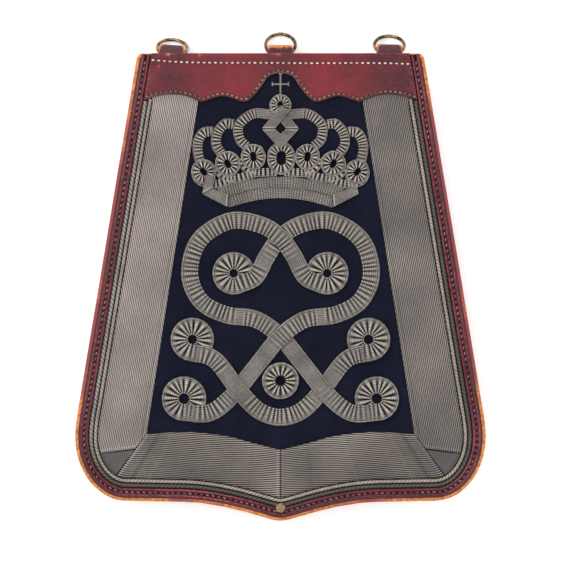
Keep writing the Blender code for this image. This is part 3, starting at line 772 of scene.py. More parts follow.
class Finishes:
    """Every finish of the sabretache, each made once."""

    def __init__(self) -> None:
        """Builds the materials."""
        self.leathers()
        self.laces()
        self.cloth = FulledCloth().build()
        self.braid = MetalBraid().build()
        self.cord_outer = TwistedCord("grey_cord", "#98978f", "#52524c").build()
        self.cord_inner = TwistedCord("tan_grey_cord", "#aa9a86", "#b0a292").build()
        self.button = TwistedCord("gilt_cord", "#a98a62", "#a98a62", "#33241a").build()
        self.brass = OldBrass().build()
        self.band_thread = LinenThread("cream_thread", "#e6cfc0", "#b89688").build()
        self.scallop_thread = LinenThread("dusty_thread", "#b0907e", "#6a4a40").build()
        self.strip_thread = LinenThread("brown_thread", "#a87a72", "#5c383a").build()

    def leathers(self) -> None:
        """The dyed and the plain leathers."""
        # the band's red has painted highlights to both sides of the middle
        self.red = MoroccoLeather(
            "red_morocco_leather", "#6a1b26", "#3f151d", "#8a3640", bare="#cf6a48", bright=0.9
        ).build()
        self.loop = MoroccoLeather("red_loop_leather", "#591e29", "#38141c", "#743039").build()
        # the edge strip's worn and bare colours also paint the highlight lines along its ridges
        self.strip = MoroccoLeather(
            "red_edge_strip", "#591521", "#350a12", "#8e414d", bare="#b8748a", roughness=0.38, shine=0.35
        ).build()
        self.pouch = MoroccoLeather("dark_pouch_leather", "#4f2024", "#351517", "#6b3034").build()
        # a near black finish for the pits that paint the shade in each awl hole
        self.hole_shade = MoroccoLeather("awl_hole_shade", "#22090c", "#180608", "#2a0e12").build()
        self.tan = CutLeather().build()
        self.piping = CutLeather("brown_piping", "#4a2e22", "#86583e", "#24120e").build()

    def laces(self) -> None:
        """The four woven laces, which have tarnished apart; the right lace's darker colours are partly painted shade,
        away from the light at the upper left.
        """
        left = WireWeave(lean=Lean.DOWN_RIGHT)
        right = WireWeave(dash_mm=26.0, contrast=1.1, broken=0.3, lean=Lean.DOWN_LEFT)
        foot = WireWeave(rib_mm=1.6, dash_mm=14.0, contrast=1.5, broken=0.5)
        patch = WireWeave(rib_mm=1.3, dash_mm=12.0, contrast=0.75, lean=Lean.DOWN_LEFT, lean_degrees=40.0)
        self.lace_left = MetalLace("grey_lace_left", left, "#b6aaa3", "#968c87", "#544a46").build()
        self.lace_right = MetalLace("grey_lace_right", right, "#928983", "#736c67", "#36302d").build()
        self.lace_foot = MetalLace("grey_lace_foot", foot, "#a1978f", "#857c75", "#2a2522").build()
        self.lace_corner = MetalLace("grey_lace_corner", patch, "#706e6a", "#5a5855", "#292929").build()


@dataclass(frozen=True)
class Stitch:
    """One sewn stitch, in mm."""

    length: float
    width: float
    height: float


@dataclass
class Maker:
    """The mesh shop: turns grids, lofts and rows of stitches into finished pieces."""

    shape: PanelShape
    finishes: Finishes
    # the size of a dark pit that paints the shade in an awl hole, and its gap from the stitch
    hole: tuple[float, float, float] = (0.75, 0.65, 0.12)  # half length, half width and height
    hole_gap: float = 0.35

    def keep(
        self, made: bmesh.types.BMesh, name: str, finish: bpy.types.Material, slot: str,
        nodes: tuple = (), angle: float = 50.0,
    ) -> bpy.types.Object:
        """Makes a bmesh a piece that rides on the object.

        Args:
            made: the shape, freed here.
            name: the piece's name.
            finish: its material.
            slot: the record's material slot; not used.
            nodes: the solids that it stands for.
            angle: the angle in degrees from which an edge stays sharp.

        Returns:
            The piece.
        """
        mesh = bpy.data.meshes.new(name)
        made.to_mesh(mesh)
        made.free()
        mesh.shade_smooth()
        mesh.set_sharp_from_angle(angle=radians(angle))
        mesh.materials.append(finish)
        piece = bpy.data.objects.new(name, mesh)
        bpy.context.scene.collection.objects.link(piece)
        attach(piece, BODY)
        if nodes:
            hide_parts(*nodes)
        LOG.info("made %s with %d faces", name, len(mesh.polygons))
        return piece

    @staticmethod
    def grid(across: int, along: int, place: Placer, wrap: bool = False, ring: bool = False) -> bmesh.types.BMesh:
        """A bent grid, open or rolled up to a tube or a ring.

        Args:
            across: cells across.
            along: cells along.
            place: gives the spot of each crossing, by its two numbers.
            wrap: whether the two long sides meet.
            ring: whether the two ends meet.

        Returns:
            The shape, with its flat map and its tone.
        """
        made = bmesh.new()
        tone = made.verts.layers.float.new("tone")
        flat = made.loops.layers.uv.new("flat")
        bmesh.ops.create_grid(made, x_segments=across, y_segments=along, size=0.5)
        made.verts.index_update()
        spots = {}
        for vertex in made.verts:
            i = round((vertex.co.x + 0.5) * across)
            j = round((vertex.co.y + 0.5) * along)
            vertex.co, spots[vertex.index], vertex[tone] = place(i, j)
        for face in made.faces:
            for loop in face.loops:
                loop[flat].uv = spots[loop.vert.index]
        if wrap:
            bmesh.ops.remove_doubles(made, verts=made.verts[:], dist=2e-7)
            if not ring:
                rims = [edge for edge in made.edges if edge.is_boundary]
                bmesh.ops.holes_fill(made, edges=rims, sides=0)
            bmesh.ops.recalc_face_normals(made, faces=made.faces[:])
        else:
            made.normal_update()
            if sum(face.normal.z * face.calc_area() for face in made.faces) < 0:
                bmesh.ops.reverse_faces(made, faces=made.faces[:])
        return made

    def bar(self, shares: tuple, along: int, place: BarPlacer, ring: bool = False) -> bmesh.types.BMesh:
        """A closed bar with a shaped top and a flat underside.

        Args:
            shares: the lines along its top, as shares of its width.
            along: cells along.
            place: gives the spot for a share, a number along, and whether it is on the underside.
            ring: whether the two ends meet.

        Returns:
            The shape.
        """
        section = [(share, False) for share in shares] + [(shares[-1], True), (shares[0], True)]

        def spot(i: int, j: int) -> Spot:
            """The spot of a crossing of the rolled grid."""
            share, below = section[i % len(section)]
            return place(share, j, below)

        return self.grid(len(section), along, spot, wrap=True, ring=ring)

    @staticmethod
    def thicken(piece: bpy.types.Object, thickness: float, rounding: float = 0.0, offset: float = -1.0) -> None:
        """Gives a sheet its thickness and rounds its cut edges.

        Args:
            piece: the sheet.
            thickness: in mm.
            rounding: the width of the rounded edge in mm, or 0.
            offset: -1 for a wall behind the surface, 0 for one round it.
        """
        wall = piece.modifiers.new("thickness", "SOLIDIFY")
        wall.thickness = thickness * MM
        wall.offset = offset
        if rounding:
            edge = piece.modifiers.new("rounded_edge", "BEVEL")
            edge.width = rounding * MM
            edge.segments = 3
            edge.limit_method = "ANGLE"
            edge.angle_limit = radians(50)

    def loops(self, levels: list[list[Vector]], last_tone: float = SOUND) -> bmesh.types.BMesh:
        """A closed shape lofted through closed loops of equal length, drawn out one after another.

        Args:
            levels: the loops' points, in metres.
            last_tone: the tone of the last loop; the others are sound.

        Returns:
            The shape.
        """
        made = bmesh.new()
        tone = made.verts.layers.float.new("tone")
        corners = [made.verts.new(point) for point in levels[0]]
        edges = [made.edges.new(pair) for pair in zip(corners, corners[1:] + corners[:1])]
        made.faces.new(corners)
        for level in levels[1:]:
            grown = set(bmesh.ops.extrude_edge_only(made, edges=edges)["geom"])
            partner = {
                corner: edge.other_vert(corner)
                for corner in corners for edge in corner.link_edges if edge.other_vert(corner) in grown
            }
            corners = [partner[corner] for corner in corners]
            for corner, point in zip(corners, level):
                corner.co = point
            edges = [made.edges.get(pair) for pair in zip(corners, corners[1:] + corners[:1])]
        made.faces.new(corners)
        for vertex in made.verts:
            vertex[tone] = SOUND
        for corner in corners:
            corner[tone] = last_tone
        bmesh.ops.recalc_face_normals(made, faces=made.faces[:])
        return made

    def tube(
        self, path: Path, radius: float, z: float, twist: float, furrow: float, around: int = 10, side_shift: float = 0.0
    ) -> bmesh.types.BMesh:
        """A twisted cord along a path.

        Args:
            path: its centre line.
            radius: in mm.
            z: the height of its centre.
            twist: the distance between two furrows along it, in mm.
            furrow: how deep a furrow is, as a share of the radius.
            around: points round it.
            side_shift: how much darker its inner side is, as painted shade.

        Returns:
            The closed shape.
        """

        def place(i: int, j: int) -> Spot:
            """The spot of a point round the cord."""
            turn = 2 * pi * (i % around) / around
            gone = path.step * j
            wave = cos(2 * turn - 2 * pi * gone / twist)
            reach = radius * (1 - furrow * (1 - wave) / 2)
            flat = path.at(j, reach * cos(turn))
            spot = self.shape.at(flat.x, flat.y, z + reach * sin(turn))
            # the tone is low in the furrows and on the inner side, where the finish paints shade
            return spot, (gone, radius * turn), 0.5 * (1 + wave) - side_shift * max(0.0, cos(turn))

        return self.grid(around, path.cells, place, wrap=True)

    def stitches(
        self, name: str, spots: list[tuple[Vector, Vector]], z: float, stitch: Stitch, thread: bpy.types.Material
    ) -> None:
        """A row of sewn stitches, and a dark pit at the end of each, which paints the shade in its awl hole.

        Args:
            name: the row's name.
            spots: the middle and the direction of each stitch, as (x, drop).
            z: the height of the surface that they lie on.
            stitch: the size of one.
            thread: its material.
        """
        sewn = bmesh.new()
        hole_shadows = bmesh.new()
        for made in (sewn, hole_shadows):
            made.verts.layers.float.new("tone")
        thread_half = (stitch.length / 2 * MM, stitch.width / 2 * MM, stitch.height * MM)
        thread_size = Matrix.Diagonal((*thread_half, 1.0))
        hole_size = Matrix.Diagonal((*(half * MM for half in self.hole), 1.0))
        for middle, along in spots:
            turn = Vector((along.x, -along.y, 0.0)).to_track_quat("X", "Z").to_matrix().to_4x4()
            at_spot = Matrix.Translation(self.shape.at(middle.x, middle.y, z)) @ turn @ thread_size
            bmesh.ops.create_uvsphere(sewn, u_segments=8, v_segments=6, radius=1.0, matrix=at_spot)
            # the dark pit at the stitch's end paints the shade in its awl hole
            end = middle - along * (stitch.length / 2 + self.hole_gap)
            at_end = Matrix.Translation(self.shape.at(end.x, end.y, z)) @ turn @ hole_size
            bmesh.ops.create_uvsphere(hole_shadows, u_segments=8, v_segments=4, radius=1.0, matrix=at_end)
        self.keep(sewn, name, thread, "red_leather", angle=80.0)
        self.keep(hole_shadows, f"{name}_holes", self.finishes.hole_shade, "red_leather", angle=80.0)


@dataclass(frozen=True)
class Cord:
    """One of the cords that follow the edge."""

    name: str
    node: str
    inset: float
    radius: float
    twist: float
    top_drop: float
    # how much darker its inner side is, as painted shade
    side_shift: float


@dataclass
class Panel:
    """The leather board with its cloth face, its stitched edge strip and its two cords."""

    maker: Maker
    cut_edge: tuple[Pair, ...] = (  # how far in and how far up the worn edge goes
        (1.3, 0.0), (0.45, 0.4), (0.0, 1.2), (-0.1, 2.25), (0.0, 3.3), (0.45, 4.1), (1.3, 4.5), (2.1, 4.5), (2.9, 4.5),
    )
    edge_wear: Ripple = Ripple(0.22, 0.11, 0.11)
    corner_steps: int = 4
    notch_inset: float = 9.9
    notch_drop: float = 2.1
    top_share: float = 0.4  # how far the top edge moves in, as a share of the sides
    cloth_inset: float = 13.5
    cloth_drop: float = 3.0
    cloth_rings: tuple[float, ...] = (1.0, 0.93, 0.84, 0.74, 0.63, 0.51, 0.38, 0.24, 0.10)
    cloth_wave: Ripple = Ripple(0.12, 0.035, 0.035, 0.245)
    strip_insets: Pair = (3.1, 9.9)
    strip_drop: float = 1.0
    strip_thick: float = 1.3
    strip_ridge: float = 0.9
    strip_lines: tuple[float, ...] = (
        -1.0, -0.94, -0.8, -0.6, -0.4, -0.22, -0.1, 0.0, 0.1, 0.22, 0.4, 0.6, 0.8, 0.94, 1.0,
    )
    # the strip's tone: painted shade in its groove and along its rims, and painted highlight lines along its ridges
    groove: Mark = Mark(0.55, 0.2)
    groove_shade: Mark = Mark(0.42, 0.3)
    ridge_wave: Ripple = Ripple(0.10, 0.16, 0.16, 0.48)
    ridge_highlight: Ripple = Ripple(0.22, 0.02, 0.02, 0.16)
    ridge_highlight_least: float = 0.15
    ridge_at: float = 0.6
    ridge_width: float = 0.15
    stitch: Stitch = Stitch(2.9, 1.15, 0.62)
    seam_drop: float = 3.0
    stitch_pitch: float = 4.2
    stitch_lean: float = 0.28
    outer_cord: Cord = Cord("edge_cord_outer", "border_cord_outer", 11.65, 1.5, 3.1, 35.0, 0.5)
    inner_cord: Cord = Cord("edge_cord_inner", "border_cord_inner", 14.95, 1.2, 2.7, 33.4, 0.0)

    def build(self) -> None:
        """Makes every piece of the panel."""
        self.board()
        self.cloth()
        self.strip()
        self.strip_seam()
        self.cords()

    def board(self) -> None:
        """The board, its cut edge rounded by wear and slightly uneven."""
        shape = self.maker.shape
        notch_half = shape.side_half(0.0) - self.notch_inset
        reach = shape.top_corner
        levels = []
        for inset, up in self.cut_edge:
            half = shape.inset_half(inset, reach)
            shoulder = shape.side_half(0.0) - inset
            top_drop = inset * self.top_share
            for step in range(1, self.corner_steps + 1):
                turn = pi / 2 * step / self.corner_steps
                half.append(Vector((shoulder - reach * (1 - cos(turn)), top_drop + reach * (1 - sin(turn)))))
            half += [Vector((notch_half, top_drop)), Vector((notch_half, self.notch_drop))]
            loop = []
            for point in mirrored(half):
                outwards = (point - Vector(PANEL_MIDDLE)).normalized()
                worn = point + outwards * self.edge_wear.at(point.x, point.y)
                loop.append(shape.at(worn.x, worn.y, shape.board_bottom + up))
            levels.append(loop)
        # the last loop's tone of 0 paints shade on the board's face, under the cloth and the strip
        made = self.maker.loops(levels, 0.0)
        self.maker.keep(made, "board_leather", self.maker.finishes.tan, "tan_leather", ("panel_board",), 40.0)

    def cloth(self) -> None:
        """The cloth face, stretched over the board with a faint unevenness."""
        shape = self.maker.shape
        outline = mirrored(shape.inset_half(self.cloth_inset, self.cloth_drop))
        middle = Vector(PANEL_MIDDLE)
        levels = [[shape.at(point.x, point.y, shape.board_top + SEAT) for point in outline]]
        for share in self.cloth_rings:
            loop = []
            for point in outline:
                spot = middle + (point - middle) * share
                sink = self.cloth_wave.at(spot.x, spot.y) - self.cloth_wave.amount if share < 1.0 else 0.0
                loop.append(shape.at(spot.x, spot.y, shape.cloth_top + sink))
            levels.append(loop)
        made = self.maker.loops(levels)
        piece = self.maker.keep(made, "cloth_face", self.maker.finishes.cloth, "blue_cloth", ("cloth_field",), 60.0)
        pairs = zip(outline, outline[1:] + outline[:1])
        area = abs(sum(a.x * b.y - b.x * a.y for a, b in pairs)) / 2 * MM * MM

    def strip(self) -> None:
        """The edge strip: two glossy ridges and the groove between them."""
        shape = self.maker.shape
        outer, inner = self.strip_insets
        middle = Path(mirrored(shape.inset_half((outer + inner) / 2, self.strip_drop)), 1.05)
        half_width = (inner - outer) / 2
        base = shape.board_top + SEAT

        def place(share: float, j: int, below: bool) -> Spot:
            """The spot of a point across the strip."""
            spot = middle.at(j, share * half_width)
            flat = (middle.step * j, share * half_width)
            if below:
                return shape.at(spot.x, spot.y, base), flat, SOUND
            rim = abs(share) == 1.0
            ridge = abs(sin(pi * share)) ** 0.75
            height = self.strip_thick * (0.55 if rim else 1.0) - self.groove.at(share)
            height += ridge * (self.strip_ridge + self.ridge_wave.at(spot.x, spot.y))
            # painted shade in the groove and along the rims, then painted highlight lines on the ridges
            tone = SOUND - self.groove_shade.at(share) - (0.3 if rim else 0.0)
            ridge_highlight = self.ridge_highlight_least + self.ridge_highlight.at(spot.x, spot.y)
            tone += ridge_highlight * hump(abs(share) - self.ridge_at, self.ridge_width)
            return shape.at(spot.x, spot.y, base + height), flat, tone

        made = self.maker.bar(self.strip_lines, middle.cells, place)
        self.maker.keep(made, "edge_strip", self.maker.finishes.strip, "red_leather", ("border_strip",), 55.0)

    def strip_seam(self) -> None:
        """The leaning stitches in the strip's groove."""
        shape = self.maker.shape
        line = mirrored(shape.inset_half(sum(self.strip_insets) / 2, self.seam_drop))
        seam = Path(line, self.stitch_pitch)
        spots = []
        for index in range(1, seam.cells):
            along = seam.along(index)
            across = Vector((-along.y, along.x))
            spots.append((seam.points[index].copy(), (along + across * self.stitch_lean).normalized()))
        height = shape.board_top + SEAT + self.strip_thick - 0.2
        self.maker.stitches("edge_stitches", spots, height, self.stitch, self.maker.finishes.strip_thread)

    def cords(self) -> None:
        """The two twisted cords that run inside the strip."""
        shape, finishes = self.maker.shape, self.maker.finishes
        rows = (
            (self.outer_cord, shape.board_top + SEAT, finishes.cord_outer),
            (self.inner_cord, shape.braid_bottom, finishes.cord_inner),
        )
        for cord, base, finish in rows:
            path = Path(mirrored(shape.inset_half(cord.inset, cord.top_drop)), cord.twist / 5)
            made = self.maker.tube(path, cord.radius, base + cord.radius, cord.twist, 0.07, 12, cord.side_shift)
            self.maker.keep(made, cord.name, finish, "twisted_cord", (cord.node,), 80.0)


@dataclass
class TopBand:
    """The red scalloped band that folds over the top edge, with its seams and piped edge."""

    maker: Maker
    thickness: float = 1.8
    inset: float = 10.3
    lip_bottom: float = 22.5
    end_drop: float = 34.0
    bend: tuple[Pair, ...] = ((0.0, -1.9), (0.12, -1.2), (0.5, -0.5), (1.1, -0.12), (1.9, 0.0))  # drop, height
    columns: int = 168
    rows: int = 16
    scallop: tuple[Pair, ...] = (
        (0.0, 13.4), (9.0, 16.5), (14.4, 24.0), (20.6, 31.5), (27.0, 35.0), (42.0, 30.9), (57.4, 35.2),
    )
    scallop_outer: tuple[Pair, ...] = ((57.4, 35.2), (78.0, 29.3), (100.0, 34.1))
    top_seam: float = 7.3
    top_margin: float = 2.4
    top_sag: Ripple = Ripple(0.35, 0.02, 1.0)
    top_stitch: Stitch = Stitch(2.4, 1.35, 0.5)
    seam_pitch: float = 4.1
    scallop_pitch: float = 3.6
    scallop_margin: float = 2.6
    scallop_stitch: Stitch = Stitch(2.1, 0.95, 0.4)
    seam_inset: float = 1.35
    piping_radius: float = 0.8
    bare_spots: tuple = (  # x, drop, size, how worn
        (-81.5, 1.2, 1.8, 0.36), (-58.8, 1.7, 1.6, 0.3), (-88.3, 9.4, 1.6, 0.3), (-2.0, 0.8, 3.2, 0.2),
        (64.0, 11.0, 2.0, 0.1),
    )
    face_wave: Ripple = Ripple(0.13, 0.05, 0.09, 2.0)
    lip_drop: float = 1.6
    lip_worn: float = 0.07
    lip_wear: Ripple = Ripple(0.10, 0.12, 1.0, 1.0)
    # painted shade along the top seam, along the crease above it, and along the scallop seam
    seam_shade: Mark = Mark(-0.16, 1.14)
    crease_shade_break: Ripple = Ripple(1.0, 0.05, 1.1, 3.0)
    crease_shade: Mark = Mark(-0.4, 1.55)
    crease_drop: float = 4.2
    edge_rub: Ripple = Ripple(1.0, 0.15, 0.1, 6.0)
    edge_line: Mark = Mark(0.3, 0.707)
    scallop_seam_shade: Mark = Mark(-0.20, 1.265)
    side_worn: Mark = Mark(0.12, 0.0469)

    def __post_init__(self) -> None:
        """Works out the scallop's curve once."""
        self.curve = smooth_route(self.scallop, 8)
        self.front = self.maker.shape.braid_bottom + self.thickness

    def scallop_drop(self, x: float) -> float:
        """The drop of the band's scalloped edge.

        Args:
            x: the distance from the middle, to either side.

        Returns:
            The drop in mm.
        """
        distance = abs(x)
        start, crest, end = self.scallop_outer
        if distance >= start[0]:
            side = end if distance > crest[0] else start
            reach = (distance - crest[0]) / (side[0] - crest[0])
            return crest[1] + (side[1] - crest[1]) * reach * reach
        for here, after in zip(self.curve, self.curve[1:]):
            if distance <= after.x:
                return here.y + (after.y - here.y) * (distance - here.x) / (after.x - here.x)
        return self.curve[-1].y

    def build(self) -> None:
        """Makes the band, its piping and its two rows of stitches."""
        self.band()
        self.piping()
        self.seams()

    def tone(self, x: float, drop: float, spread: float, bottom: float, on_face: bool) -> float:
        """How sound the band's dye is at a place, with painted shade along its seams and its crease.

        Args:
            x: its distance from the middle.
            drop: its drop.
            spread: its x as a share of the band's half width.
            bottom: the drop of the scalloped edge below it.
            on_face: whether it lies below the fold.

        Returns:
            The tone.
        """
        tone = SOUND
        for spot_x, spot_drop, size, worn in self.bare_spots:
            tone += worn * hump(hypot(x - spot_x, drop - spot_drop), size)
        if drop < self.lip_drop:
            tone += self.lip_worn + self.lip_wear.at(x, 4.0)
        # painted shade along the top seam and the crease above it
        tone += self.seam_shade.at(drop - self.top_seam)
        crease_strength = max(0.0, self.crease_shade_break.at(x, drop) + 0.1)
        tone += crease_strength * self.crease_shade.at(drop - self.crease_drop)
        if on_face:
            tone += (0.5 + self.edge_rub.at(x, drop)) * self.edge_line.at(bottom - drop)
            # painted shade along the scallop seam
            tone += self.scallop_seam_shade.at(bottom - self.seam_inset - drop)
        if drop > 9:
            tone += self.side_worn.at(abs(spread) - 1)
        return tone

    def band(self) -> None:
        """The folded, scalloped leather."""
        shape = self.maker.shape
        fold = [(0.0, self.lip_bottom), *((drop, self.front + down) for drop, down in self.bend)]
        start = fold[-1][0]
        reach = shape.side_half(self.end_drop) - self.inset

        def place(i: int, j: int) -> Spot:
            """The spot of a crossing of the band's grid."""
            spread = 2 * i / self.columns - 1
            bottom = self.scallop_drop(spread * reach)
            on_face = j >= len(fold)
            if on_face:
                drop, z = start + (bottom - start) * (j - len(fold) + 1) / self.rows, self.front
            else:
                drop, z = fold[j]
            x = spread * (shape.side_half(drop) - self.inset)
            z += self.face_wave.at(x, drop) * on_face
            return shape.at(x, drop, z), (x, drop), self.tone(x, drop, spread, bottom, on_face)

        made = self.maker.grid(self.columns, len(fold) - 1 + self.rows, place)
        piece = self.maker.keep(made, "scalloped_band", self.maker.finishes.red, "red_leather", ("top_band",), 60.0)
        self.maker.thicken(piece, self.thickness, 0.45)

    def edge_points(self, inset: float, reach: float) -> list[Vector]:
        """The scalloped edge from left to right, moved up the face.

        Args:
            inset: how far it is moved, square to the edge.
            reach: the distance from the middle at which it ends.

        Returns:
            The points.
        """
        half = [Vector((x, self.scallop_drop(x))) for x in (reach * step / 120 for step in range(121))]
        moved = [point + side * -inset for point, side in zip(half, normals(half))]
        moved[0] = Vector((0.0, half[0].y - inset))
        return mirrored(moved)

    def piping(self) -> None:
        """The thin brown bead that the scalloped edge is sewn down with."""
        shape = self.maker.shape
        reach = shape.side_half(self.end_drop) - self.inset - self.piping_radius
        path = Path(self.edge_points(0.1, reach), 0.6)
        # its tone is low in the furrows of the twist, where the finish paints shade
        made = self.maker.tube(path, self.piping_radius, shape.braid_bottom + 1.25, 1.8, 0.2)
        self.maker.keep(made, "band_piping", self.maker.finishes.piping, "red_leather", (), 80.0)

    def seams(self) -> None:
        """The straight seam under the top edge and the seam along the scallops."""
        shape, finishes = self.maker.shape, self.maker.finishes
        reach = shape.side_half(self.top_seam) - self.inset - self.top_margin
        count = round(2 * reach / self.seam_pitch)
        top = []
        for number in range(count + 1):
            x = -reach + 2 * reach * number / count
            rise = 2.2 * (x / reach) ** 4 if x < 0 else -0.7 * (x / reach) ** 6
            drop = self.top_seam + self.top_sag.at(x, 5.0) - rise
            top.append((Vector((x, drop)), Vector((1.0, 0.0))))
        self.maker.stitches("band_top_stitches", top, self.front, self.top_stitch, finishes.band_thread)
        reach = shape.side_half(self.end_drop) - self.inset - self.scallop_margin
        seam = Path(self.edge_points(self.seam_inset, reach), self.scallop_pitch)
        low = [(seam.points[index].copy(), seam.along(index)) for index in range(seam.cells + 1)]
        thread = finishes.scallop_thread
        self.maker.stitches("band_scallop_stitches", low, self.front, self.scallop_stitch, thread)


@dataclass
class Laces:
    """The wide woven laces down both sides and along the foot, mitred at the corners."""

    maker: Maker
    band: TopBand
    inset: float = 16.8
    outer_top: float = 36.0
    thickness: float = 1.1
    corner_thickness: float = 0.8
    top: Pair = (59.8, 35.6)
    mitre_inner: Pair = (97.2, 276.6)
    knee: Pair = (105.5, 287.6)
    mitre_outer: Pair = (118.7, 306.2)
    foot: Pair = (131.0, 290.8)
    gap: float = 0.2
    foot_top: tuple[Pair, ...] = ((0.0, 288.3), (22.7, 282.5), (40.0, 278.0), (67.0, 275.2), (97.2, 276.6))
    foot_map: tuple[float, float, float] = (105.0, 34.0, 40.0)  # length, width and drift of its ribs
    wave: Ripple = Ripple(0.16, 0.05, 0.06, 9.0)
    small_wave: Ripple = Ripple(0.05, 0.3, 0.3, 4.0)
    soiling: Ripple = Ripple(0.25, 0.03, 0.02, 1.0)
    side_tones: tuple = (("column", 1, 0.16), ("column", 2, -0.2), ("row", 1, 0.3))
    # negative tones paint shade in the foot lace's folds; positive ones its bright threads
    creases: tuple = (  # the foot lace's folds and bright threads, by their row
        (77, -0.14), (76, -0.2), (75, -0.1), (68, 0.12), (67, 0.06), (41, -0.08), (40, 0.06), (17, -0.07),
    )

    def __post_init__(self) -> None:
        """Works out the laces' outer edge once, and its side alone."""
        self.outer = Path(self.maker.shape.inset_half(self.inset, self.outer_top), 0.5)
        widest = max(range(self.outer.cells + 1), key=lambda index: self.outer.points[index].x)
        self.side_rows = [(point.y, point.x) for point in self.outer.points[widest - 60 :]]

    def build(self) -> None:
        """Makes both halves."""
        for side, sign in SIDES:
            self.side_lace(side, sign)
            self.foot_lace(side, sign)
            self.corner(side, sign)

    def stretch(self, start: Pair, end: Pair) -> Path:
        """The stretch of the outer edge between the points nearest to two places."""
        points = self.outer.points
        ends = [
            min(range(len(points)), key=lambda index, spot=spot: (points[index] - Vector(spot)).length)
            for spot in (start, end)
        ]
        return Path(points[min(ends) : max(ends) + 1], 1.0)

    def slab(
        self, rows: int, columns: int, middle: Callable[[float, float], Vector], thickness: float, sign: float,
        mapped: tuple[float, float, float] | None = None, tones: dict | None = None,
    ) -> bmesh.types.BMesh:
        """A lace's slab with soft edges and shallow waves.

        Args:
            rows: cells along it.
            columns: cells across it.
            middle: gives (x, drop) for shares across and along.
            thickness: in mm.
            sign: -1 on the left, 1 on the right.
            mapped: the length, width and drift of its ribs, where they follow it and not the panel.
            tones: what is added to the tone in some cells, by ("column", number) or ("row", number).

        Returns:
            The closed shape, with flat places in mm.
        """
        shape = self.maker.shape
        marks = tones or {}

        def place(u: float, j: int, below: bool) -> Spot:
            """The spot of a point across the lace."""
            gone = j / rows
            spot = middle(u, gone)
            x, drop = sign * spot.x, spot.y
            flat = (drop, x)
            if mapped:
                length, width, drift = mapped
                flat = (gone * length, u * width - drift * (gone - gone * gone / 2))
            if below:
                return shape.at(x, drop, shape.braid_bottom), flat, 0.3
            full = min(1.0, min(u, 1 - u) * columns, j, rows - j)
            waves = self.wave.at(x, drop) + self.small_wave.at(x, drop)
            height = thickness * (0.6 + 0.4 * full) + waves * full
            # the soft edges are painted darker, as shade where the lace meets what lies beside it
            tone = SOUND + self.soiling.at(x, drop) - 0.2 * (1 - full)
            tone += marks.get(("column", round(u * columns)), 0.0) + marks.get(("row", j), 0.0)
            return shape.at(x, drop, shape.braid_bottom + height), flat, tone

        return self.maker.bar(tuple(i / columns for i in range(columns + 1)), rows, place)

    def foot_drop(self, x: float) -> float:
        """The drop of the side lace's cut end.

        Args:
            x: the distance from the middle.

        Returns:
            The drop in mm.
        """
        ends = (self.mitre_inner, self.knee) if x < self.knee[0] else (self.knee, self.foot)
        (x0, drop0), (x1, drop1) = ends
        return drop0 + (drop1 - drop0) * (x - x0) / (x1 - x0)

    def outer_x(self, drop: float) -> float:
        """The outer edge's distance from the middle, on the side.

        Args:
            drop: the drop at which it is wanted.

        Returns:
            The distance in mm.
        """
        rows = self.side_rows
        for (drop0, x0), (drop1, x1) in zip(rows, rows[1:]):
            if drop1 <= drop <= drop0:
                return x0 + (x1 - x0) * (drop - drop0) / (drop1 - drop0)
        return rows[0][1] if drop > rows[0][0] else rows[-1][1]

    def side_lace(self, side: str, sign: float) -> None:
        """The lace down one side, from the scallops to the mitre.

        Args:
            side: its name.
            sign: -1 on the left, 1 on the right.
        """
        rim = self.stretch(self.foot, tuple(self.outer.points[-1]))
        slope = (self.mitre_inner[0] - self.top[0]) / (self.mitre_inner[1] - self.top[1])

        def across(drop: float, u: float) -> float:
            """The x of a share across the lace."""
            inner_x = self.top[0] + slope * (drop - self.top[1])
            return inner_x + (self.outer_x(drop) - inner_x) * u

        def middle(u: float, w: float) -> Vector:
            """The (x, drop) of a share across and one along, from the mitre up."""
            foot_x = self.mitre_inner[0] + (self.foot[0] - self.mitre_inner[0]) * u
            for _ in range(4):
                foot_drop = self.foot_drop(foot_x) - self.gap
                foot_x = across(foot_drop, u)
            spot, start = rim.points[min(rim.cells, round(w * rim.cells))], rim.points[0].y
            drop = foot_drop + (spot.y - start) * (foot_drop - self.outer_top) / (start - self.outer_top)
            x = across(drop, u)
            top_drop = self.band.scallop_drop(x) + self.gap + SEAT
            return Vector((x, top_drop if w == 1.0 else max(drop, top_drop)))

        tones = {(kind, number): tone for kind, number, tone in self.side_tones}
        made = self.slab(150, 24, middle, self.thickness, sign, tones=tones)
        finish = self.maker.finishes.lace_left if sign < 0 else self.maker.finishes.lace_right
        self.maker.keep(made, f"side_lace_{side}", finish, "metal_lace", (f"lace_side_{side}",), 60.0)

    def foot_tones(self, sign: float) -> dict:
        """What is added to the foot lace's tone: darker towards the edge, brighter at the mitre.

        Args:
            sign: -1 on the left, 1 on the right.

        Returns:
            The tones by ("column", number) or ("row", number).
        """
        on_right = sign > 0
        tones = {("column", number): -0.012 * number - 0.05 * on_right for number in range(19)}
        tones |= {("row", 84): 0.3, ("row", 83): 0.2 if on_right else 0.5, ("column", 1): 0.1}
        tones |= {("row", row): tone for row, tone in self.creases}
        return tones if on_right else tones | {("row", 1): 0.3, ("row", 2): 0.2}

    def foot_lace(self, side: str, sign: float) -> None:
        """The half of the lace along the foot, from the centre seam to the mitre.

        Args:
            side: its name.
            sign: -1 on the left, 1 on the right.
        """
        upper = Path(smooth_route(self.foot_top), 0.5)
        lower = self.stretch(tuple(self.outer.points[0]), self.mitre_outer)
        mitre = Vector(self.mitre_outer) - Vector(self.mitre_inner)
        clearance = Vector((mitre.y, -mitre.x)).normalized() * self.gap

        def middle(u: float, w: float) -> Vector:
            """The (x, drop) of a share across and one along, from the seam outwards."""
            start = upper.points[round(w * upper.cells)]
            end = lower.points[round(w * lower.cells)]
            return start.lerp(end, u) - clearance * w + Vector((self.gap, 0.0))

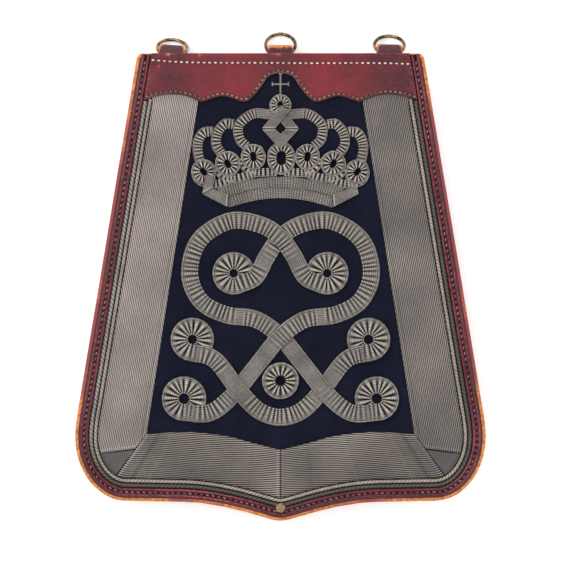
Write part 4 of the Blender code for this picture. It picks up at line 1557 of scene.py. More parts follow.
        made = self.slab(84, 18, middle, self.thickness, sign, self.foot_map, self.foot_tones(sign))
        finish = self.maker.finishes.lace_foot
        self.maker.keep(made, f"foot_lace_{side}", finish, "metal_lace", (f"lace_bottom_{side}",), 60.0)

    def corner(self, side: str, sign: float) -> None:
        """The small patch that fills the corner outside the mitre.

        Args:
            side: its name.
            sign: -1 on the left, 1 on the right.
        """
        rim = self.stretch(self.mitre_outer, self.foot)
        knee = Vector(self.knee) + Vector((0.5, 0.5))

        def middle(u: float, w: float) -> Vector:
            """The (x, drop) of a share from the knee to the rim and one along the rim."""
            spot = rim.points[round((0.03 + 0.95 * w) * rim.cells)]
            return knee.lerp(spot, 0.02 + 0.98 * u) + Vector((0.0, self.gap))

        made = self.slab(24, 8, middle, self.corner_thickness, sign)
        finish = self.maker.finishes.lace_corner
        self.maker.keep(made, f"corner_lace_{side}", finish, "metal_lace", (f"lace_corner_{side}",), 60.0)


@dataclass(frozen=True)
class Folds:
    """How a braid is pleated."""

    pitch: float = 3.3  # mm from one fold to the next
    even: bool = False  # whether the folds are as deep at both edges
    least: float = 0.0  # their strength on straight stretches, up to 1
    plain: float = 0.0  # mm at the start without any fold


@dataclass(frozen=True)
class Station:
    """One cross line of a braid."""

    middle: Vector  # (x, drop)
    side: Vector  # from the middle to one edge
    gone: float  # the distance along the braid
    bend: float  # in 1/mm, above 0 where that edge is inside
    lift: float  # how far the bottom lies above the usual height
    # it only scales that fold's painted highlight and painted shadow
    creased: float = 0.0  # how sharply the start of the braid is folded over, up to 1


@dataclass(frozen=True)
class Selvedge:
    """The cord in a braid's edge and the dip beside it, at shares of its width: the cord is paler, and the dip is
    darkened as painted shade.
    """

    cord_at: float
    cord: Mark
    dip_at: float
    dip: Mark
    light: float = 0.16
    dark: float = 0.12

    def at(self, share: float) -> Pair:
        """What they add to the height, in mm, and to the tone."""
        cord, dip = share - self.cord_at, share - self.dip_at
        tone = self.light * hump(cord, self.cord.width) - self.dark * hump(dip, self.dip.width)
        return self.cord.at(cord) - self.dip.at(dip), tone


@dataclass(frozen=True)
class Pleat:
    """One fold of a braid: a crest with a painted highlight between slits darkened partly by tarnish and partly as
    painted shade.
    """

    slit: Pair  # where the slit begins and is deepest, 0 on the crest and 1 between two folds
    crest: float
    depth: float
    light: float
    crest_least: float = 0.4  # the share of the crest where the braid lies flat
    light_least: float = 0.2
    dark: float = 0.55
    dark_least: float = 0.15

    def at(self, away: float, reach: float, opened: float = 1.0, cut: float = 1.0) -> Pair:
        """What the fold adds at a place.

        Args:
            away: the distance from the crest, 1 between two folds.
            reach: how far the fold is gathered here, from 0 to 1.
            opened: how wide the slit is open here, up to 1.
            cut: how deep it may go here, up to 1.

        Returns:
            The height in mm and the tone.
        """
        slit = smooth_step(*self.slit, away) * opened
        swell = 1 - away * away
        crest = self.crest * swell * (self.crest_least + (1 - self.crest_least) * reach)
        # painted highlight on the crest, and tarnish and painted shade in the slits
        light = self.light * swell**4 * (self.light_least + (1 - self.light_least) * reach)
        dark = self.dark * slit * (self.dark_least + (1 - self.dark_least) * reach)
        return crest - self.depth * slit * reach * cut, light - dark


@dataclass
class Braidwork:
    """How the flat silver braid is sewn down: straight, pleated round a bend, or coiled."""

    maker: Maker
    thickness: float = 1.1
    dome: float = 0.32
    samples: int = 9  # cross lines to a fold
    lines: tuple[float, ...] = (
        -1.0, -0.95, -0.88, -0.8, -0.62, -0.42, -0.2, 0.0, 0.2, 0.42, 0.62, 0.8, 0.88, 0.95, 1.0,
    )
    edge: Selvedge = Selvedge(0.9, Mark(0.16, 0.06), 0.79, Mark(0.1, 0.05))
    pleat: Pleat = Pleat((0.46, 0.96), 0.34, 1.0, 0.26)
    fold_bends: Pair = (0.005, 0.018)  # the bends between which a strap starts to fold
    tight_bends: Pair = (0.03, 0.08)
    # a painted highlight beside a folded end, and a painted shadow in the fold
    fold_highlight: Mark = Mark(0.3, 0.5)
    fold_shadow: Mark = Mark(0.4, 0.55)
    coil_thickness: float = 1.5
    coil_lines: tuple[float, ...] = (0.0, 0.05, 0.12, 0.22, 0.34, 0.46, 0.58, 0.7, 0.8, 0.87, 0.93, 0.98, 1.0)
    coil_edge: Selvedge = Selvedge(0.93, Mark(0.12, 0.05), 0.84, Mark(0.08, 0.04))
    coil_pleat: Pleat = Pleat((0.34, 0.92), 0.3, 0.95, 0.32, light_least=0.1, dark_least=0.12)
    coil_samples: int = 12
    coil_wobble: Ripple = Ripple(0.04, 1.0, 1.0)

    def keep(self, made: bmesh.types.BMesh, name: str, nodes: tuple) -> None:
        """Makes a shape a piece of braid."""
        self.maker.keep(made, name, self.maker.finishes.braid, "metal_braid", nodes, 75.0)

    def fold_strength(self, here: Station, turn: float, folds: Folds) -> float:
        """How deep the folds are at a cross line.

        Args:
            here: the cross line.
            turn: the number of its fold.
            folds: how the braid is pleated.

        Returns:
            The strength, 1 in a tight bend; it differs a little from fold to fold.
        """
        bend = abs(here.bend)
        tight = 0.6 + 0.4 * smooth_step(*self.tight_bends, bend)
        strength = max(folds.least, smooth_step(*self.fold_bends, bend) * tight)
        jitter = noise.noise(Vector((turn * 1.7, here.middle.x * 0.01, here.middle.y * 0.01)))
        return strength * (1 + 0.45 * jitter) * smooth_step(folds.plain - 2.0, folds.plain, here.gone)

    def sweep(self, name: str, stations: list[Station], nodes: tuple, folds: Folds) -> None:
        """A closed braid through its cross lines.

        Args:
            name: the piece's name.
            stations: the cross lines, from one end to the other.
            nodes: the solids that it stands for.
            folds: how it is pleated.
        """
        shape = self.maker.shape

        def place(share: float, j: int, below: bool) -> Spot:
            """The spot of a point on a cross line."""
            here = stations[j]
            spot = here.middle + here.side * share
            low = shape.braid_bottom + here.lift
            flat = (here.gone, share * here.side.length)
            # the underside is painted dark, as shade where the braid meets the cloth
            if below:
                return shape.at(spot.x, spot.y, low), flat, 0.1
            turns = here.gone / folds.pitch + 0.14 * sin(here.gone * 0.41)
            strength = self.fold_strength(here, floor(turns), folds)
            inner = 0.5 * (1 + (share if here.bend > 0 else -share))
            reach = 1.0 if folds.even else smooth_step(0.05, 0.36, inner)
            fold, shade = self.pleat.at(abs(turns - floor(turns) - 0.5) * 2, reach)
            # the rims are painted dark, as shade where the braid meets the cloth
            if abs(share) == 1.0:
                height, tone = self.thickness * 0.35 + 0.3 * strength * fold, 0.25
            else:
                bead, shine = self.edge.at(abs(share))
                height = self.thickness + self.dome * (1 - share * share) + bead + strength * fold
                tone = SOUND + shine
            # the folds' painted light and shade, and those of a folded end
            crease = self.fold_highlight.at(here.gone - 1.2) - self.fold_shadow.at(here.gone)
            tone += strength * shade + crease * here.creased
            return shape.at(spot.x, spot.y, low + max(0.2, height)), flat, min(1.0, max(0.0, tone))

        self.keep(self.maker.bar(self.lines, len(stations) - 1, place), name, nodes)

    def strap(
        self, name: str, route: list[Vector], width: float, nodes: tuple = (), lift: Lift | None = None,
        folds: Folds = Folds(),
    ) -> None:
        """A braid along a smooth route.

        Args:
            name: the piece's name.
            route: its centre line.
            width: in mm.
            nodes: the solids that it stands for.
            lift: gives how far it is raised, from the distance along it and its length.
            folds: how it is pleated.
        """
        path = Path(route, folds.pitch / self.samples)
        stations = []
        for index in range(path.cells + 1):
            gone = path.step * index
            raised = lift(gone, path.length) if lift else 0.0
            side = path.sides[index] * width / 2
            stations.append(Station(path.points[index], side, gone, path.bends[index], raised))
        self.sweep(name, stations, nodes, folds)

    def folded(
        self, name: str, rails: tuple, lifts: tuple, nodes: tuple = (), folds: Folds = Folds()
    ) -> None:
        """A straight braid between slanting ends, such as two folds.

        Args:
            name: the piece's name.
            rails: its two corners at each end, as ((x, drop), (x, drop)).
            lifts: how far it is raised at each end and at even steps between, in mm.
            nodes: the solids that it stands for.
            folds: how it is pleated.
        """
        (first_a, first_b), (last_a, last_b) = [[Vector(corner) for corner in pair] for pair in rails]
        length = ((last_a + last_b) / 2 - (first_a + first_b) / 2).length
        cells = ceil(length / 0.45)
        stations = []
        for index in range(cells + 1):
            share = index / cells
            a, b = first_a.lerp(last_a, share), first_b.lerp(last_b, share)
            leg = min(len(lifts) - 2, int(share * (len(lifts) - 1)))
            part = share * (len(lifts) - 1) - leg
            raised = lifts[leg] + (lifts[leg + 1] - lifts[leg]) * smooth_step(0.0, 1.0, part)
            stations.append(Station((a + b) / 2, (b - a) / 2, share * length, 0.0, raised, 1.0))
        self.sweep(name, stations, nodes, folds)

    def rosette(
        self, name: str, spot: tuple, pleats: int, node: str, thickness: float | None = None,
        oval: tuple[float, float, float] = (0.0, 0.0, 0.0), turn: float = 0.0,
    ) -> None:
        """A coiled end: a pleated ring round a small dark eye.

        Args:
            name: the piece's name.
            spot: x, drop, radius and eye radius.
            pleats: how many folds it has.
            node: the solid that it stands for.
            thickness: in mm, where it isn't the usual one.
            oval: how much the eye and the rim are drawn out, as shares, and in which direction in degrees.
            turn: the angle of its first fold, in radians.
        """
        shape = self.maker.shape
        x, drop, radius, hole = spot
        eye_oval, rim_oval, direction = oval
        thick = thickness or self.coil_thickness
        around = pleats * self.coil_samples

        def place(share: float, j: int, below: bool) -> Spot:
            """The spot of a point between the eye and the rim."""
            start = 2 * pi * (j % around) / around + turn
            uneven = self.coil_wobble.at(cos(start) * 2.0 + x, sin(start) * 2.0 + drop)
            angle = start + uneven * 3
            drawn = cos(2 * (angle - radians(direction)))
            eye = hole * (1 + eye_oval * drawn)
            reach = eye + (radius * (1 + uneven + rim_oval * drawn) - eye) * share
            flat = (angle * (radius + hole) / 2, reach)
            spot_x, spot_drop = x + reach * cos(angle), drop + reach * sin(angle)
            if below:
                return shape.at(spot_x, spot_drop, shape.rosette_bottom), flat, 0.1
            bead, shine = self.coil_edge.at(share)
            away = abs((j % self.coil_samples) / self.coil_samples - 0.5) * 2
            opened = 0.45 + 0.55 * smooth_step(0.0, 0.3, share)
            gathered = 1 - smooth_step(0.58, 0.86, share)
            fold, shade = self.coil_pleat.at(away, gathered, opened, min(1.0, share * 8 + 0.3))
            shoulder = min(1.0, 4.0 * share + 0.45) * (1 - 0.55 * smooth_step(0.9, 1.0, share) ** 2)
            height = thick * (0.62 + 0.38 * sin(pi * min(1.0, share * 0.9 + 0.15))) * shoulder + bead + fold
            # the eye's rim is painted dark, as shade down into the eye
            tone = 0.12 if share < 0.06 else SOUND + shine + shade
            top = shape.at(spot_x, spot_drop, shape.rosette_bottom + max(0.15, height))
            return top, flat, min(1.0, max(0.0, tone))

        self.keep(self.maker.bar(self.coil_lines, around, place, ring=True), name, (node,))


@dataclass(frozen=True)
class Coil:
    """The coiled end of a strand."""

    middle: Pair
    radius: float
    joins: float  # the angle where the braid comes in, in degrees from +x towards larger drops
    turn: float = 332.0  # how far round it goes, in degrees

    @property
    def length(self) -> float:
        """How much braid it takes, in mm."""
        return radians(self.turn) * self.radius

    def route(self, inwards: bool) -> list[Vector]:
        """Its centre line, from the strand to the free end or the other way.

        Args:
            inwards: whether it ends with the free end.

        Returns:
            Points (x, drop).
        """
        start, sweep = (self.joins, self.turn) if inwards else (self.joins + self.turn, -self.turn)
        steps = ceil(self.turn / 6)
        angles = [radians(start + sweep * step / steps) for step in range(steps + 1)]
        x, drop = self.middle
        return [Vector((x + self.radius * cos(a), drop + self.radius * sin(a))) for a in angles]


@dataclass
class Knot:
    """The woven knot in the middle of the field: two mirrored strands and a garland.

    Each strand ends in coils of its own braid, whose free end is tucked under the braid's way in.
    """

    braidwork: Braidwork
    width: float = 12.7
    strand: tuple[Pair, ...] = (
        (-52.0, 261.5), (-36.0, 250.0), (-18.0, 228.0), (0.0, 206.0), (18.0, 193.5), (40.0, 190.0), (58.0, 180.0),
        (66.0, 160.0), (59.0, 136.0), (37.0, 122.0), (15.0, 124.5), (0.0, 134.0), (-10.0, 148.0), (-18.0, 162.5),
    )
    garland: tuple[Pair, ...] = ((-48.0, 222.5), (-31.0, 244.0), (-16.0, 259.5), (0.0, 264.5))
    lower: Coil = Coil((-70.0, 251.0), 9.9, 92.0)
    upper: Coil = Coil((-34.0, 160.0), 9.2, 65.0)
    side: Coil = Coil((-64.0, 208.0), 9.5, 105.0)
    middle: tuple[float, float, float, float] = (0.0, 238.0, 13.4, 3.1)
    tuck: float = 20.0  # mm along the braid over which it comes down from its own coil
    run: float = 12.0  # mm over which it rises to a crossing

    def lift(self, over: list[float], coils: Pair) -> Lift:
        """How a braid rises at its crossings and its coils.

        Args:
            over: the shares of its length at which it passes over another one.
            coils: the length of the coil at its start and at its end.

        Returns:
            The height above the cloth, by the distance along and the whole length.
        """
        high = self.braidwork.maker.shape.crossing_lift

        def raised(gone: float, length: float) -> float:
            """The height at a distance along the braid."""
            most = 0.0
            for share in over:
                most = max(most, smooth_step(0.0, 1.0, 2.0 - abs(gone - share * length) / self.run))
            for round_coil, away in ((coils[0], gone), (coils[1], length - gone)):
                up = smooth_step(0.0, round_coil * 0.62, away)
                down = 1 - smooth_step(round_coil + 7.0, round_coil + 7.0 + self.tuck, away)
                most = max(most, min(up, down))
            return most * high

        return raised

    def build(self) -> None:
        """Makes the strands, the garland and the coil in the middle."""
        work = self.braidwork
        low, up = self.lower.route(False), self.upper.route(True)
        left = low[:-1] + smooth_route((tuple(low[-1]), *self.strand, tuple(up[0]))) + up[1:]
        right = flip(left)
        side = self.side.route(False)
        half = (tuple(side[-1]), *self.garland)
        whole = smooth_route((*half, *[(-x, drop) for x, drop in reversed(half[:-1])]))
        hung = side[:-1] + whole[:-1] + flip(side)[::-1]
        on_axis = crossings(left, right)
        coils = (self.lower.length, self.upper.length)
        over_left, over_right = on_axis[0::2], on_axis[1::2] + crossings(left, hung)
        for name, route, over in (("left", left, over_left), ("right", right, over_right)):
            nodes = (f"knot_strand_{name}", f"knot_rosette_lower_{name}", f"knot_rosette_upper_{name}")
            work.strap(f"knot_braid_{name}", route, self.width, nodes, self.lift(over, coils))
        nodes = ("knot_garland", "knot_rosette_side_left", "knot_rosette_side_right")
        hung_lift = self.lift(crossings(hung, left), (self.side.length, self.side.length))
        work.strap("knot_braid_garland", hung, self.width, nodes, hung_lift)
        work.rosette("knot_coil_middle", self.middle, 16, "knot_rosette_middle")


@dataclass
class Crown:
    """The traditional crown of narrow pleated braid, with its orb, cross and coils."""

    braidwork: Braidwork
    width: float = 7.4
    base_width: float = 7.75
    tail_width: float = 6.6
    arches: tuple = (  # name, route of the right one, least fold, mm without folds
        ("inner", ((5.5, 44.6), (9.0, 44.4), (20.2, 44.3), (30.0, 52.0), (29.7, 62.0), (24.5, 68.0)), 0.0, 12.0),
        ("middle", ((33.9, 51.8), (35.4, 51.6), (40.5, 51.6), (45.8, 58.1), (46.7, 66.3), (43.0, 73.0)), 0.6, 0.0),
        ("outer", ((49.4, 57.2), (51.0, 57.0), (56.0, 57.9), (59.4, 63.2), (60.2, 70.5), (58.6, 78.5)), 0.6, 0.0),
    )
    loop_coil: tuple[float, float, float, float] = (0.6, 76.3, 11.2, 3.7)
    loop_oval: tuple[float, float, float] = (0.24, 0.085, 90.0)
    coils: tuple = (  # name, (x, drop, radius, eye radius) of the right one, folds, oval of the left one
        ("inner", (19.6, 75.4, 9.3, 2.3), 15, (0.3, 0.03, 80.0)),
        ("middle", (38.3, 80.5, 9.3, 2.1), 14, (0.3, 0.0, 60.0)),
        ("outer", (55.8, 86.3, 9.0, 2.0), 14, (0.3, 0.0, 50.0)),
    )
    tails: tuple = (  # the braid under each coil, swept in to the middle, and how high it lies
        ("inner", ((27.8, 76.0), (26.6, 81.4), (22.4, 85.4), (15.5, 86.9), (2.0, 86.3)), 0.45),
        ("middle", ((46.0, 81.0), (44.2, 86.8), (39.5, 90.2), (33.0, 91.2), (25.5, 89.6), (17.0, 86.5)), 0.25),
        ("outer", ((62.0, 87.5), (59.4, 92.2), (54.0, 94.6), (47.0, 95.2), (40.5, 93.6), (33.5, 90.6)), 0.1),
    )
    rows: tuple = (("upper", 93.7, (45.0, 101.9)), ("lower", 101.5, (38.6, 108.4)))  # middle drop, right end
    orb: tuple[float, float, float, float] = (0.0, 38.0, 8.0, 1.9)
    cross_outline: tuple[Pair, ...] = (
        (0.62, 30.5), (0.62, 23.2), (5.2, 23.1), (5.4, 24.2), (6.4, 24.2), (6.4, 21.0), (5.4, 21.0), (5.2, 22.1),
        (0.62, 22.0), (0.7, 15.4), (1.6, 15.2), (1.6, 14.3),
    )
    cross_thickness: float = 0.9

    def build(self) -> None:
        """Makes the whole crown."""
        self.cross()
        self.diamond()
        self.braidwork.rosette("crown_orb_coil", self.orb, 15, "crown_orb", 1.2, (0.25, 0.0, 80.0))
        self.hoops()
        self.coiled_ends()
        self.base()

    def hoops(self) -> None:
        """The arches, and the braid that runs on from them under the coils."""
        for name, points, least, plain in self.arches:
            folds = Folds(2.4, least=least, plain=plain)
            for side, line in both_sides(points):
                nodes = (f"crown_arch_{name}_{side}",)
                self.braidwork.strap(f"crown_hoop_{name}_{side}", line, self.width, nodes, folds=folds)
        for name, points, raised in self.tails:
            folds = Folds(2.9, least=0.9)
            for side, line in both_sides(points):
                lift = self.falling(raised)
                self.braidwork.strap(f"crown_tail_{name}_{side}", line, self.tail_width, (), lift, folds)

    @staticmethod
    def falling(raised: float) -> Lift:
        """A lift that comes down to its half along a braid."""

        def lift(gone: float, length: float) -> float:
            """The height at a distance along the braid."""
            return raised * (1 - gone / length * 0.5)

        return lift

    def coiled_ends(self) -> None:
        """The row of seven coils at the arches' feet."""
        work = self.braidwork
        work.rosette("crown_coil_loop", self.loop_coil, 18, "crown_rosette_loop", oval=self.loop_oval)
        for name, (x, drop, radius, eye), pleats, (eye_oval, rim_oval, direction) in self.coils:
            for side, sign in SIDES:
                oval = (eye_oval, rim_oval, direction if sign < 0 else 180.0 - direction)
                spot, node = (sign * x, drop, radius, eye), f"crown_rosette_{name}_{side}"
                work.rosette(f"crown_coil_{name}_{side}", spot, pleats, node, oval=oval, turn=0.3 * sign)

    def base(self) -> None:
        """The two rows of the crown's base, their folded ends and the straps that rise from them."""
        work = self.braidwork
        for name, middle_drop, end in self.rows:
            mid = (end[0] / 2, middle_drop + 0.27 * (end[1] - middle_drop))
            route = smooth_route(((-end[0], end[1]), (-mid[0], mid[1]), (0.0, middle_drop), mid, end))
            nodes, folds = (f"crown_base_{name}",), Folds(1.9, True, 0.3)
            work.strap(f"crown_foot_{name}", route, self.base_width, nodes, folds=folds)
        for side, sign in SIDES:
            facet = (((sign * 37.6, 103.0), (sign * 38.1, 112.0)), ((sign * 51.3, 97.6), (sign * 56.6, 102.6)))
            nodes = (f"crown_base_end_{side}",)
            work.folded(f"crown_foot_end_{side}", facet, (1.7, 1.2), nodes, Folds(1.9, True, 0.1))
            riser = (((sign * 49.6, 98.4), (sign * 56.9, 102.8)), ((sign * 46.8, 90.0), (sign * 54.0, 88.4)))
            work.folded(f"crown_riser_{side}", riser, (2.2, 3.7) if sign < 0 else (0.0, 0.0))

    def cross(self) -> None:
        """The small flat cross above the orb, with short bars at the ends of its arms."""
        maker = self.braidwork.maker
        points = mirrored([Vector(point) for point in self.cross_outline])
        base = maker.shape.braid_bottom
        levels = [[maker.shape.at(p.x, p.y, base + up) for p in points] for up in (0.0, self.cross_thickness)]
        made = maker.loops(levels)
        half_way = (base + self.cross_thickness / 2) * MM
        upper = [edge for edge in made.edges if any(corner.co.z > half_way for corner in edge.verts)]
        rims = [edge for edge in upper if edge.calc_face_angle(0.0) > 1.0]
        bmesh.ops.bevel(made, geom=rims, offset=0.2 * MM, affect="EDGES", segments=2, profile=0.5, material=-1)
        maker.keep(made, "crown_cross_wire", maker.finishes.braid, "metal_braid", ("crown_cross",))

    def diamond(self) -> None:
        """Two flat straps that cross above and below and fold at the diamond's corners."""
        work = self.braidwork
        for side, sign in SIDES:
            fold = ((-sign * 4.1, 55.0), (-sign * 13.8, 55.0))
            top = ((sign * 6.3, 42.6), (sign * 0.5, 38.0))
            foot = ((sign * 5.7, 63.8), (0.0, 69.9))
            over_top = (0.2, 1.8, 3.5) if sign > 0 else (0.2, 0.0, 0.0)
            over_foot = (0.2, 1.4, 2.7) if sign > 0 else (0.2, 2.6, 4.0)
            nodes = ("crown_diamond",) if sign > 0 else ()
            work.folded(f"crown_strap_upper_{side}", (fold, top), over_top, nodes)
            work.folded(f"crown_strap_lower_{side}", (fold, foot), over_foot)


@dataclass
class CordButton:
    """The small twisted knot that covers the cords' ends at the tip."""

    maker: Maker
    x: float = 0.0
    drop: float = 330.3
    radius: float = 3.7
    height: float = 3.0
    above_board: float = 3.7
    furrows: int = 5
    twist: float = 3.2
    around: int = 40
    rings: int = 12

    def build(self) -> None:
        """Makes the knot: a dome with spiral furrows."""
        shape = self.maker.shape
        base = shape.board_top + self.above_board

        def place(i: int, j: int) -> Spot:
            """The spot of a point on the dome, from its foot up."""
            around = 2 * pi * (i % self.around) / self.around
            up = pi / 2 * j / self.rings
            furrow = 0.5 + 0.5 * cos(self.furrows * around + self.twist * up)
            reach = max(self.radius * cos(up) * (0.88 + 0.12 * furrow), 0.02 * self.radius)
            z = self.height * sin(up) * (0.9 + 0.1 * furrow)
            spot = shape.at(self.x + reach * cos(around), self.drop + reach * sin(around), base + z)
            # the tone is low in the spiral furrows, where the finish paints shade
            return spot, (around * self.radius, up * self.radius), 0.15 + 0.6 * furrow

        made = self.maker.grid(self.around, self.rings, place, wrap=True)
        self.maker.keep(made, "tip_knot", self.maker.finishes.button, "twisted_cord", ("cord_button",), 70.0)


@dataclass(frozen=True)
class Hanger:
    """One leather loop with its ring."""

    name: str
    x: float
    ring_reach: float
    lean: float  # degrees that the ring leans down
    tab_reach: float
    turn: float  # degrees that both are turned on the panel
    worn: float  # how worn the middle of its fold is
    worn_corners: float  # how much more its corners are
    worn_depth: float  # mm that the wear goes down from the fold


@dataclass
class Hangers:
    """The three leather loops under the top edge, and the rings that hang in them."""

    maker: Maker
    ring_radius: float = 10.85
    wire: float = 1.3
    ring_play: float = 0.35
    ply: float = 1.5
    root: float = 22.0
    root_half: float = 9.7
    tip_half: float = 8.9
    fold_gap: float = 0.55
    columns: int = 22
    arc_steps: int = 18
    fold_steps: int = 12
    fold_waist: Mark = Mark(0.25, 1.6)
    ragged: Ripple = Ripple(0.45, 5.0, 1.0, 2.0)
    chipped: Ripple = Ripple(0.1, 16.0, 0.2, 6.0)
    mottled: Ripple = Ripple(0.06, 3.0, 0.3)
    hangers: tuple[Hanger, ...] = (
        Hanger("left", -79.6, 5.0, 52.0, 7.3, -4.0, 0.02, 0.6, 3.4),
        Hanger("centre", 0.0, 7.3, 38.5, 7.3, 0.0, 0.42, 0.1, 3.6),
        Hanger("right", 79.6, 7.1, 48.0, 7.6, -1.0, 0.02, 0.6, 3.4),
    )

    def build(self) -> None:
        """Makes each loop and its ring."""
        for hanger in self.hangers:
            turn = Matrix.Rotation(radians(hanger.turn), 4, "Z")
            move = Matrix.Translation(self.maker.shape.at(hanger.x, 0.0, 0.0)) @ turn
            self.tab(hanger, move)
            self.ring(hanger, move)

    def midline(self, hanger: Hanger) -> list[tuple[Vector, float]]:
        """A loop's middle line and its half opening, from its root to its fold.

        Args:
            hanger: which loop.

        Returns:
            Points (reach, height) in mm, each with the half opening.
        """
        lean = radians(hanger.lean)
        level = self.maker.shape.board_bottom - SEAT - self.ply
        ring_gap = self.wire + self.ring_play
        down = Vector((cos(lean), -sin(lean)))
        centre = Vector((hanger.ring_reach, SEAT + self.wire + self.ring_radius * sin(lean)))
        fold_reach = hanger.tab_reach - self.fold_gap - self.ply
        fold = centre + down * ((fold_reach - hanger.ring_reach) / cos(lean))
        ring_end = centre - down * self.ring_radius
        start = Vector((min(-10.5, ring_end.x - 6.0), level))
        reach = (ring_end - start).length * 0.4
        rise = min(reach, (level - ring_end.y) / sin(lean))
        curve = (start, start + Vector((reach, 0.0)), ring_end - down * rise, ring_end)
        rows = [(Vector((-self.root, level)), 0.0)]
        for number, point in enumerate(bezier(curve, self.arc_steps)):
            rows.append((point, ring_gap * smooth_step(0.3, 0.85, number / self.arc_steps)))
        opened = fold - down * 2.6
        rows += [(ring_end.lerp(opened, share), ring_gap) for share in (0.25, 0.5, 0.75, 1.0)]
        rows += [(opened.lerp(fold, 0.5), ring_gap * 0.72 + self.fold_gap * 0.28), (fold, self.fold_gap)]
        return rows

    def outline(self, hanger: Hanger) -> tuple[list[Vector], int]:
        """A loop's strap seen from its side, from the root over the fold and back.

        Args:
            hanger: which loop.

        Returns:
            Points (reach, height) in mm, and the number of the one next to the fold's crest.
        """
        rows = self.midline(hanger)
        line = [point for point, _ in rows]
        sides = normals(line)
        offset = self.ply / 2
        highest = self.maker.shape.board_bottom - SEAT - self.ply / 2
        upper = [point + side * (gap + offset) for (point, gap), side in zip(rows, sides)]
        for point in upper:
            point.y = min(point.y, highest)
        lower = [point - side * (gap + offset) for (point, gap), side in zip(rows, sides)]
        ahead = Vector((sides[-1].y, -sides[-1].x))
        reach = self.fold_gap + offset
        tip = []
        for step in range(1, self.fold_steps):
            turn = pi / 2 - pi * step / self.fold_steps
            tip.append(line[-1] + sides[-1] * reach * sin(turn) + ahead * reach * cos(turn))
        return upper + tip + lower[::-1], len(upper) + self.fold_steps // 2 - 1

    def tab(self, hanger: Hanger, move: Matrix) -> None:
        """One folded strap: two plies from the root, open round the ring and closed at the fold.

        Args:
            hanger: which loop.
            move: brings it to its place.
        """
        path, crest_number = self.outline(hanger)
        longest = max(point.x for point in path)
        spans = [0.0]
        for here, after in zip(path, path[1:]):
            spans.append(spans[-1] + (after - here).length)
        crest = spans[crest_number]

        def place(i: int, j: int) -> Spot:
            """The spot of a crossing of the strap's grid."""
            spread = 2 * i / self.columns - 1
            out, up = path[j]
            from_crest = spans[j] - crest
            share = min(1.0, max(0.0, (out + 2.0) / (longest + 2.0)))
            half = self.root_half + (self.tip_half - self.root_half) * share - self.fold_waist.at(from_crest)
            depth = hanger.worn_depth * (1 + self.ragged.at(spread, longest))
            below_fold = max(0.0, abs(from_crest) - 2.0) / depth
            corner = hanger.worn_corners * smooth_step(0.62, 0.95, abs(spread))
            worn = (hanger.worn + corner) * exp(-(below_fold**4)) - self.chipped.at(spread, spans[j])
            edge = 0.2 * smooth_step(0.82, 1.0, abs(spread)) * smooth_step(-2.0, 3.0, out)
            if below_fold > 0:
                edge += hanger.worn_corners * 0.45 * smooth_step(0.84, 0.98, abs(spread))
            tone = SOUND + worn + edge + self.mottled.at(spread, spans[j], longest)
            return move @ (Vector((spread * half, out, up)) * MM), (spread * half, spans[j]), tone

        made = self.maker.grid(self.columns, len(path) - 1, place)
        name, nodes = f"hanging_loop_{hanger.name}", (f"tab_{hanger.name}",)
        piece = self.maker.keep(made, name, self.maker.finishes.loop, "red_leather", nodes, 60.0)
        self.maker.thicken(piece, self.ply, 0.4, 0.0)

    def ring(self, hanger: Hanger, move: Matrix) -> None:
        """One ring of round wire, spun about its middle.

        Args:
            hanger: which ring.
            move: brings it to its place.
        """
        lean = radians(hanger.lean)
        made = bmesh.new()
        made.verts.layers.float.new("tone")
        wire = bmesh.ops.create_circle(made, segments=16, radius=self.wire * MM)["verts"]
        upright = Matrix.Translation((self.ring_radius * MM, 0, 0)) @ Matrix.Rotation(pi / 2, 4, "X")
        bmesh.ops.transform(made, matrix=upright, verts=wire)
        start = made.verts[:] + made.edges[:]
        bmesh.ops.spin(made, geom=start, cent=(0, 0, 0), axis=(0, 0, 1), angle=2 * pi, steps=72, use_merge=True)
        bmesh.ops.remove_doubles(made, verts=made.verts[:], dist=1e-7)
        bmesh.ops.recalc_face_normals(made, faces=made.faces[:])
        height = SEAT + self.wire + self.ring_radius * sin(lean)
        middle = Matrix.Translation(Vector((0.0, hanger.ring_reach, height)) * MM)
        bmesh.ops.transform(made, matrix=move @ middle @ Matrix.Rotation(-lean, 4, "X"), verts=made.verts[:])
        name, nodes = f"hanging_ring_{hanger.name}", (f"ring_{hanger.name}",)
        self.maker.keep(made, name, self.maker.finishes.brass, "brass", nodes, 60.0)


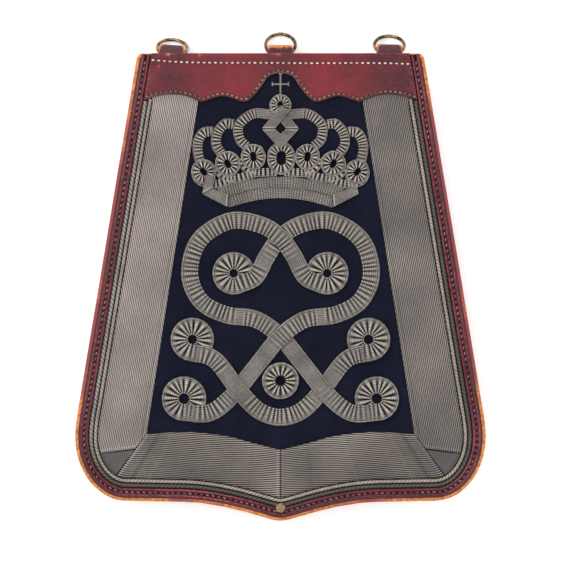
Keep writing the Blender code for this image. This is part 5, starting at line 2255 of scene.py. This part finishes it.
@dataclass
class Pouch:
    """The gusseted pocket behind the panel, open at the top."""

    maker: Maker
    mouth_drop: float = 28.0
    inset: float = 12.0
    wall: float = 2.0
    foot_bend: tuple[Pair, ...] = ((2.6, 0.1), (0.9, 0.35), (0.1, 1.2), (0.1, 2.4), (0.9, 4.2), (2.4, 7.0))
    gusset: float = 3.2  # how far the middle of the gusset folds in
    sag: Ripple = Ripple(0.5, 0.03, 0.03)

    def profile(self) -> list[Pair]:
        """How far in and how high each loop of the pocket's side goes, from the back to the front."""
        depth = self.maker.shape.pouch_depth
        upper = [(inset, depth - up) for inset, up in reversed(self.foot_bend[1:])]
        return [(5.0, 0.15), *self.foot_bend, (self.gusset, depth / 2), *upper, (4.0, depth)]

    def build(self) -> None:
        """Makes the pocket: its walls are the shell of a flat, rounded box without a lid."""
        shape = self.maker.shape
        levels = []
        for more, z in self.profile():
            loop = []
            for point in mirrored(shape.inset_half(self.inset + more, self.mouth_drop)):
                sag = self.sag.at(point.x, point.y, z * 0.12) * sin(pi * z / shape.pouch_depth)
                outwards = (point.x > 0) - (point.x < 0)
                loop.append(shape.at(point.x - sag * outwards, point.y, z))
            levels.append(loop)
        made = self.maker.loops(levels)
        mouth_y = shape.at(0.0, self.mouth_drop, 0.0).y
        mouth = [face for face in made.faces if all(abs(vertex.co.y - mouth_y) < 1e-5 for vertex in face.verts)]
        bmesh.ops.delete(made, geom=mouth, context="FACES")
        finish = self.maker.finishes.pouch
        piece = self.maker.keep(made, "pocket_leather", finish, "pouch_leather", ("pouch",), 40.0)
        self.maker.thicken(piece, self.wall)


@dataclass(frozen=True)
class SoftBox:
    """A square studio light that looks at the object."""

    name: str
    place: tuple[float, float, float]
    size: float
    power: float

    def build(self) -> None:
        """Makes the light."""
        data = bpy.data.lights.new(self.name, "AREA")
        data.size = self.size
        data.energy = self.power
        lamp = bpy.data.objects.new(self.name, data)
        lamp.location = self.place
        lamp.rotation_mode = "QUATERNION"
        lamp.rotation_quaternion = (-Vector(self.place)).to_track_quat("-Z", "Y")
        bpy.context.scene.collection.objects.link(lamp)


@dataclass
class Studio:
    """A pale floor, soft light from the upper left, and the camera straight above."""

    width_mm: float = 414.1  # what the picture takes in at the height of the panel's face
    focus_z: float = 29.0
    centre: Pair = (3.3, -7.05)
    distance: float = 2.5
    sensor: float = 36.0
    floor_glow: float = 0.3  # the floor is lit from below, like a light table
    sky: float = 0.74
    lights: tuple[SoftBox, ...] = (
        SoftBox("key", (-0.9, 0.8, 1.7), 1.8, 24.0), SoftBox("fill", (1.2, -0.6, 1.6), 2.0, 11.0),
    )

    def build(self) -> None:
        """Makes the floor, the lights and the camera."""
        self.floor()
        for light in self.lights:
            light.build()
        world = bpy.data.worlds.new("studio")
        world.use_nodes = True
        sky = world.node_tree.nodes["Background"]
        sky.inputs[0].default_value = linear("#ffffff")
        sky.inputs[1].default_value = self.sky
        bpy.context.scene.world = world
        bpy.context.scene.view_settings.view_transform = "Standard"
        self.camera()

    def floor(self) -> None:
        """The pale floor, faintly mottled."""
        made = Recipe("pale_floor", Roughness=0.9, Emission_Strength=self.floor_glow)
        place = made.add("TexCoord", output="Object")
        mottle = made.add("TexNoise", {0: place, "Scale": 3.0, "Detail": 2.0})
        colour = made.lay(linear("#fbfbfb"), "#ffffff", mottle, low=0.0, high=1.0)
        ground = bmesh.new()
        bmesh.ops.create_grid(ground, x_segments=8, y_segments=8, size=4.0)
        mesh = bpy.data.meshes.new("floor")
        ground.to_mesh(mesh)
        ground.free()
        mesh.materials.append(made.finish(colour, None, 0.0))
        floor_piece = bpy.data.objects.new("floor", mesh)
        bpy.context.scene.collection.objects.link(floor_piece)

    def camera(self) -> None:
        """The camera above the panel, with a long lens."""
        data = bpy.data.cameras.new("photo_view")
        data.sensor_width = self.sensor
        reach = self.distance - self.focus_z * MM
        data.lens = self.sensor * reach / (self.width_mm * MM)
        data.clip_start, data.clip_end = 0.1, 20.0
        eye = bpy.data.objects.new("photo_view", data)
        eye.location = (self.centre[0] * MM, self.centre[1] * MM, self.distance)
        bpy.context.scene.collection.objects.link(eye)
        bpy.context.scene.camera = eye


def main() -> None:
    """Builds the sabretache and its studio in order."""
    logging.basicConfig(level=logging.INFO, format="%(message)s")
    maker = Maker(PanelShape(), Finishes())
    Studio().build()
    Pouch(maker).build()
    Hangers(maker).build()
    Panel(maker).build()
    band = TopBand(maker)
    band.build()
    Laces(maker, band).build()
    work = Braidwork(maker)
    Crown(work).build()
    Knot(work).build()
    CordButton(maker).build()


if __name__ == "__main__":
    main()
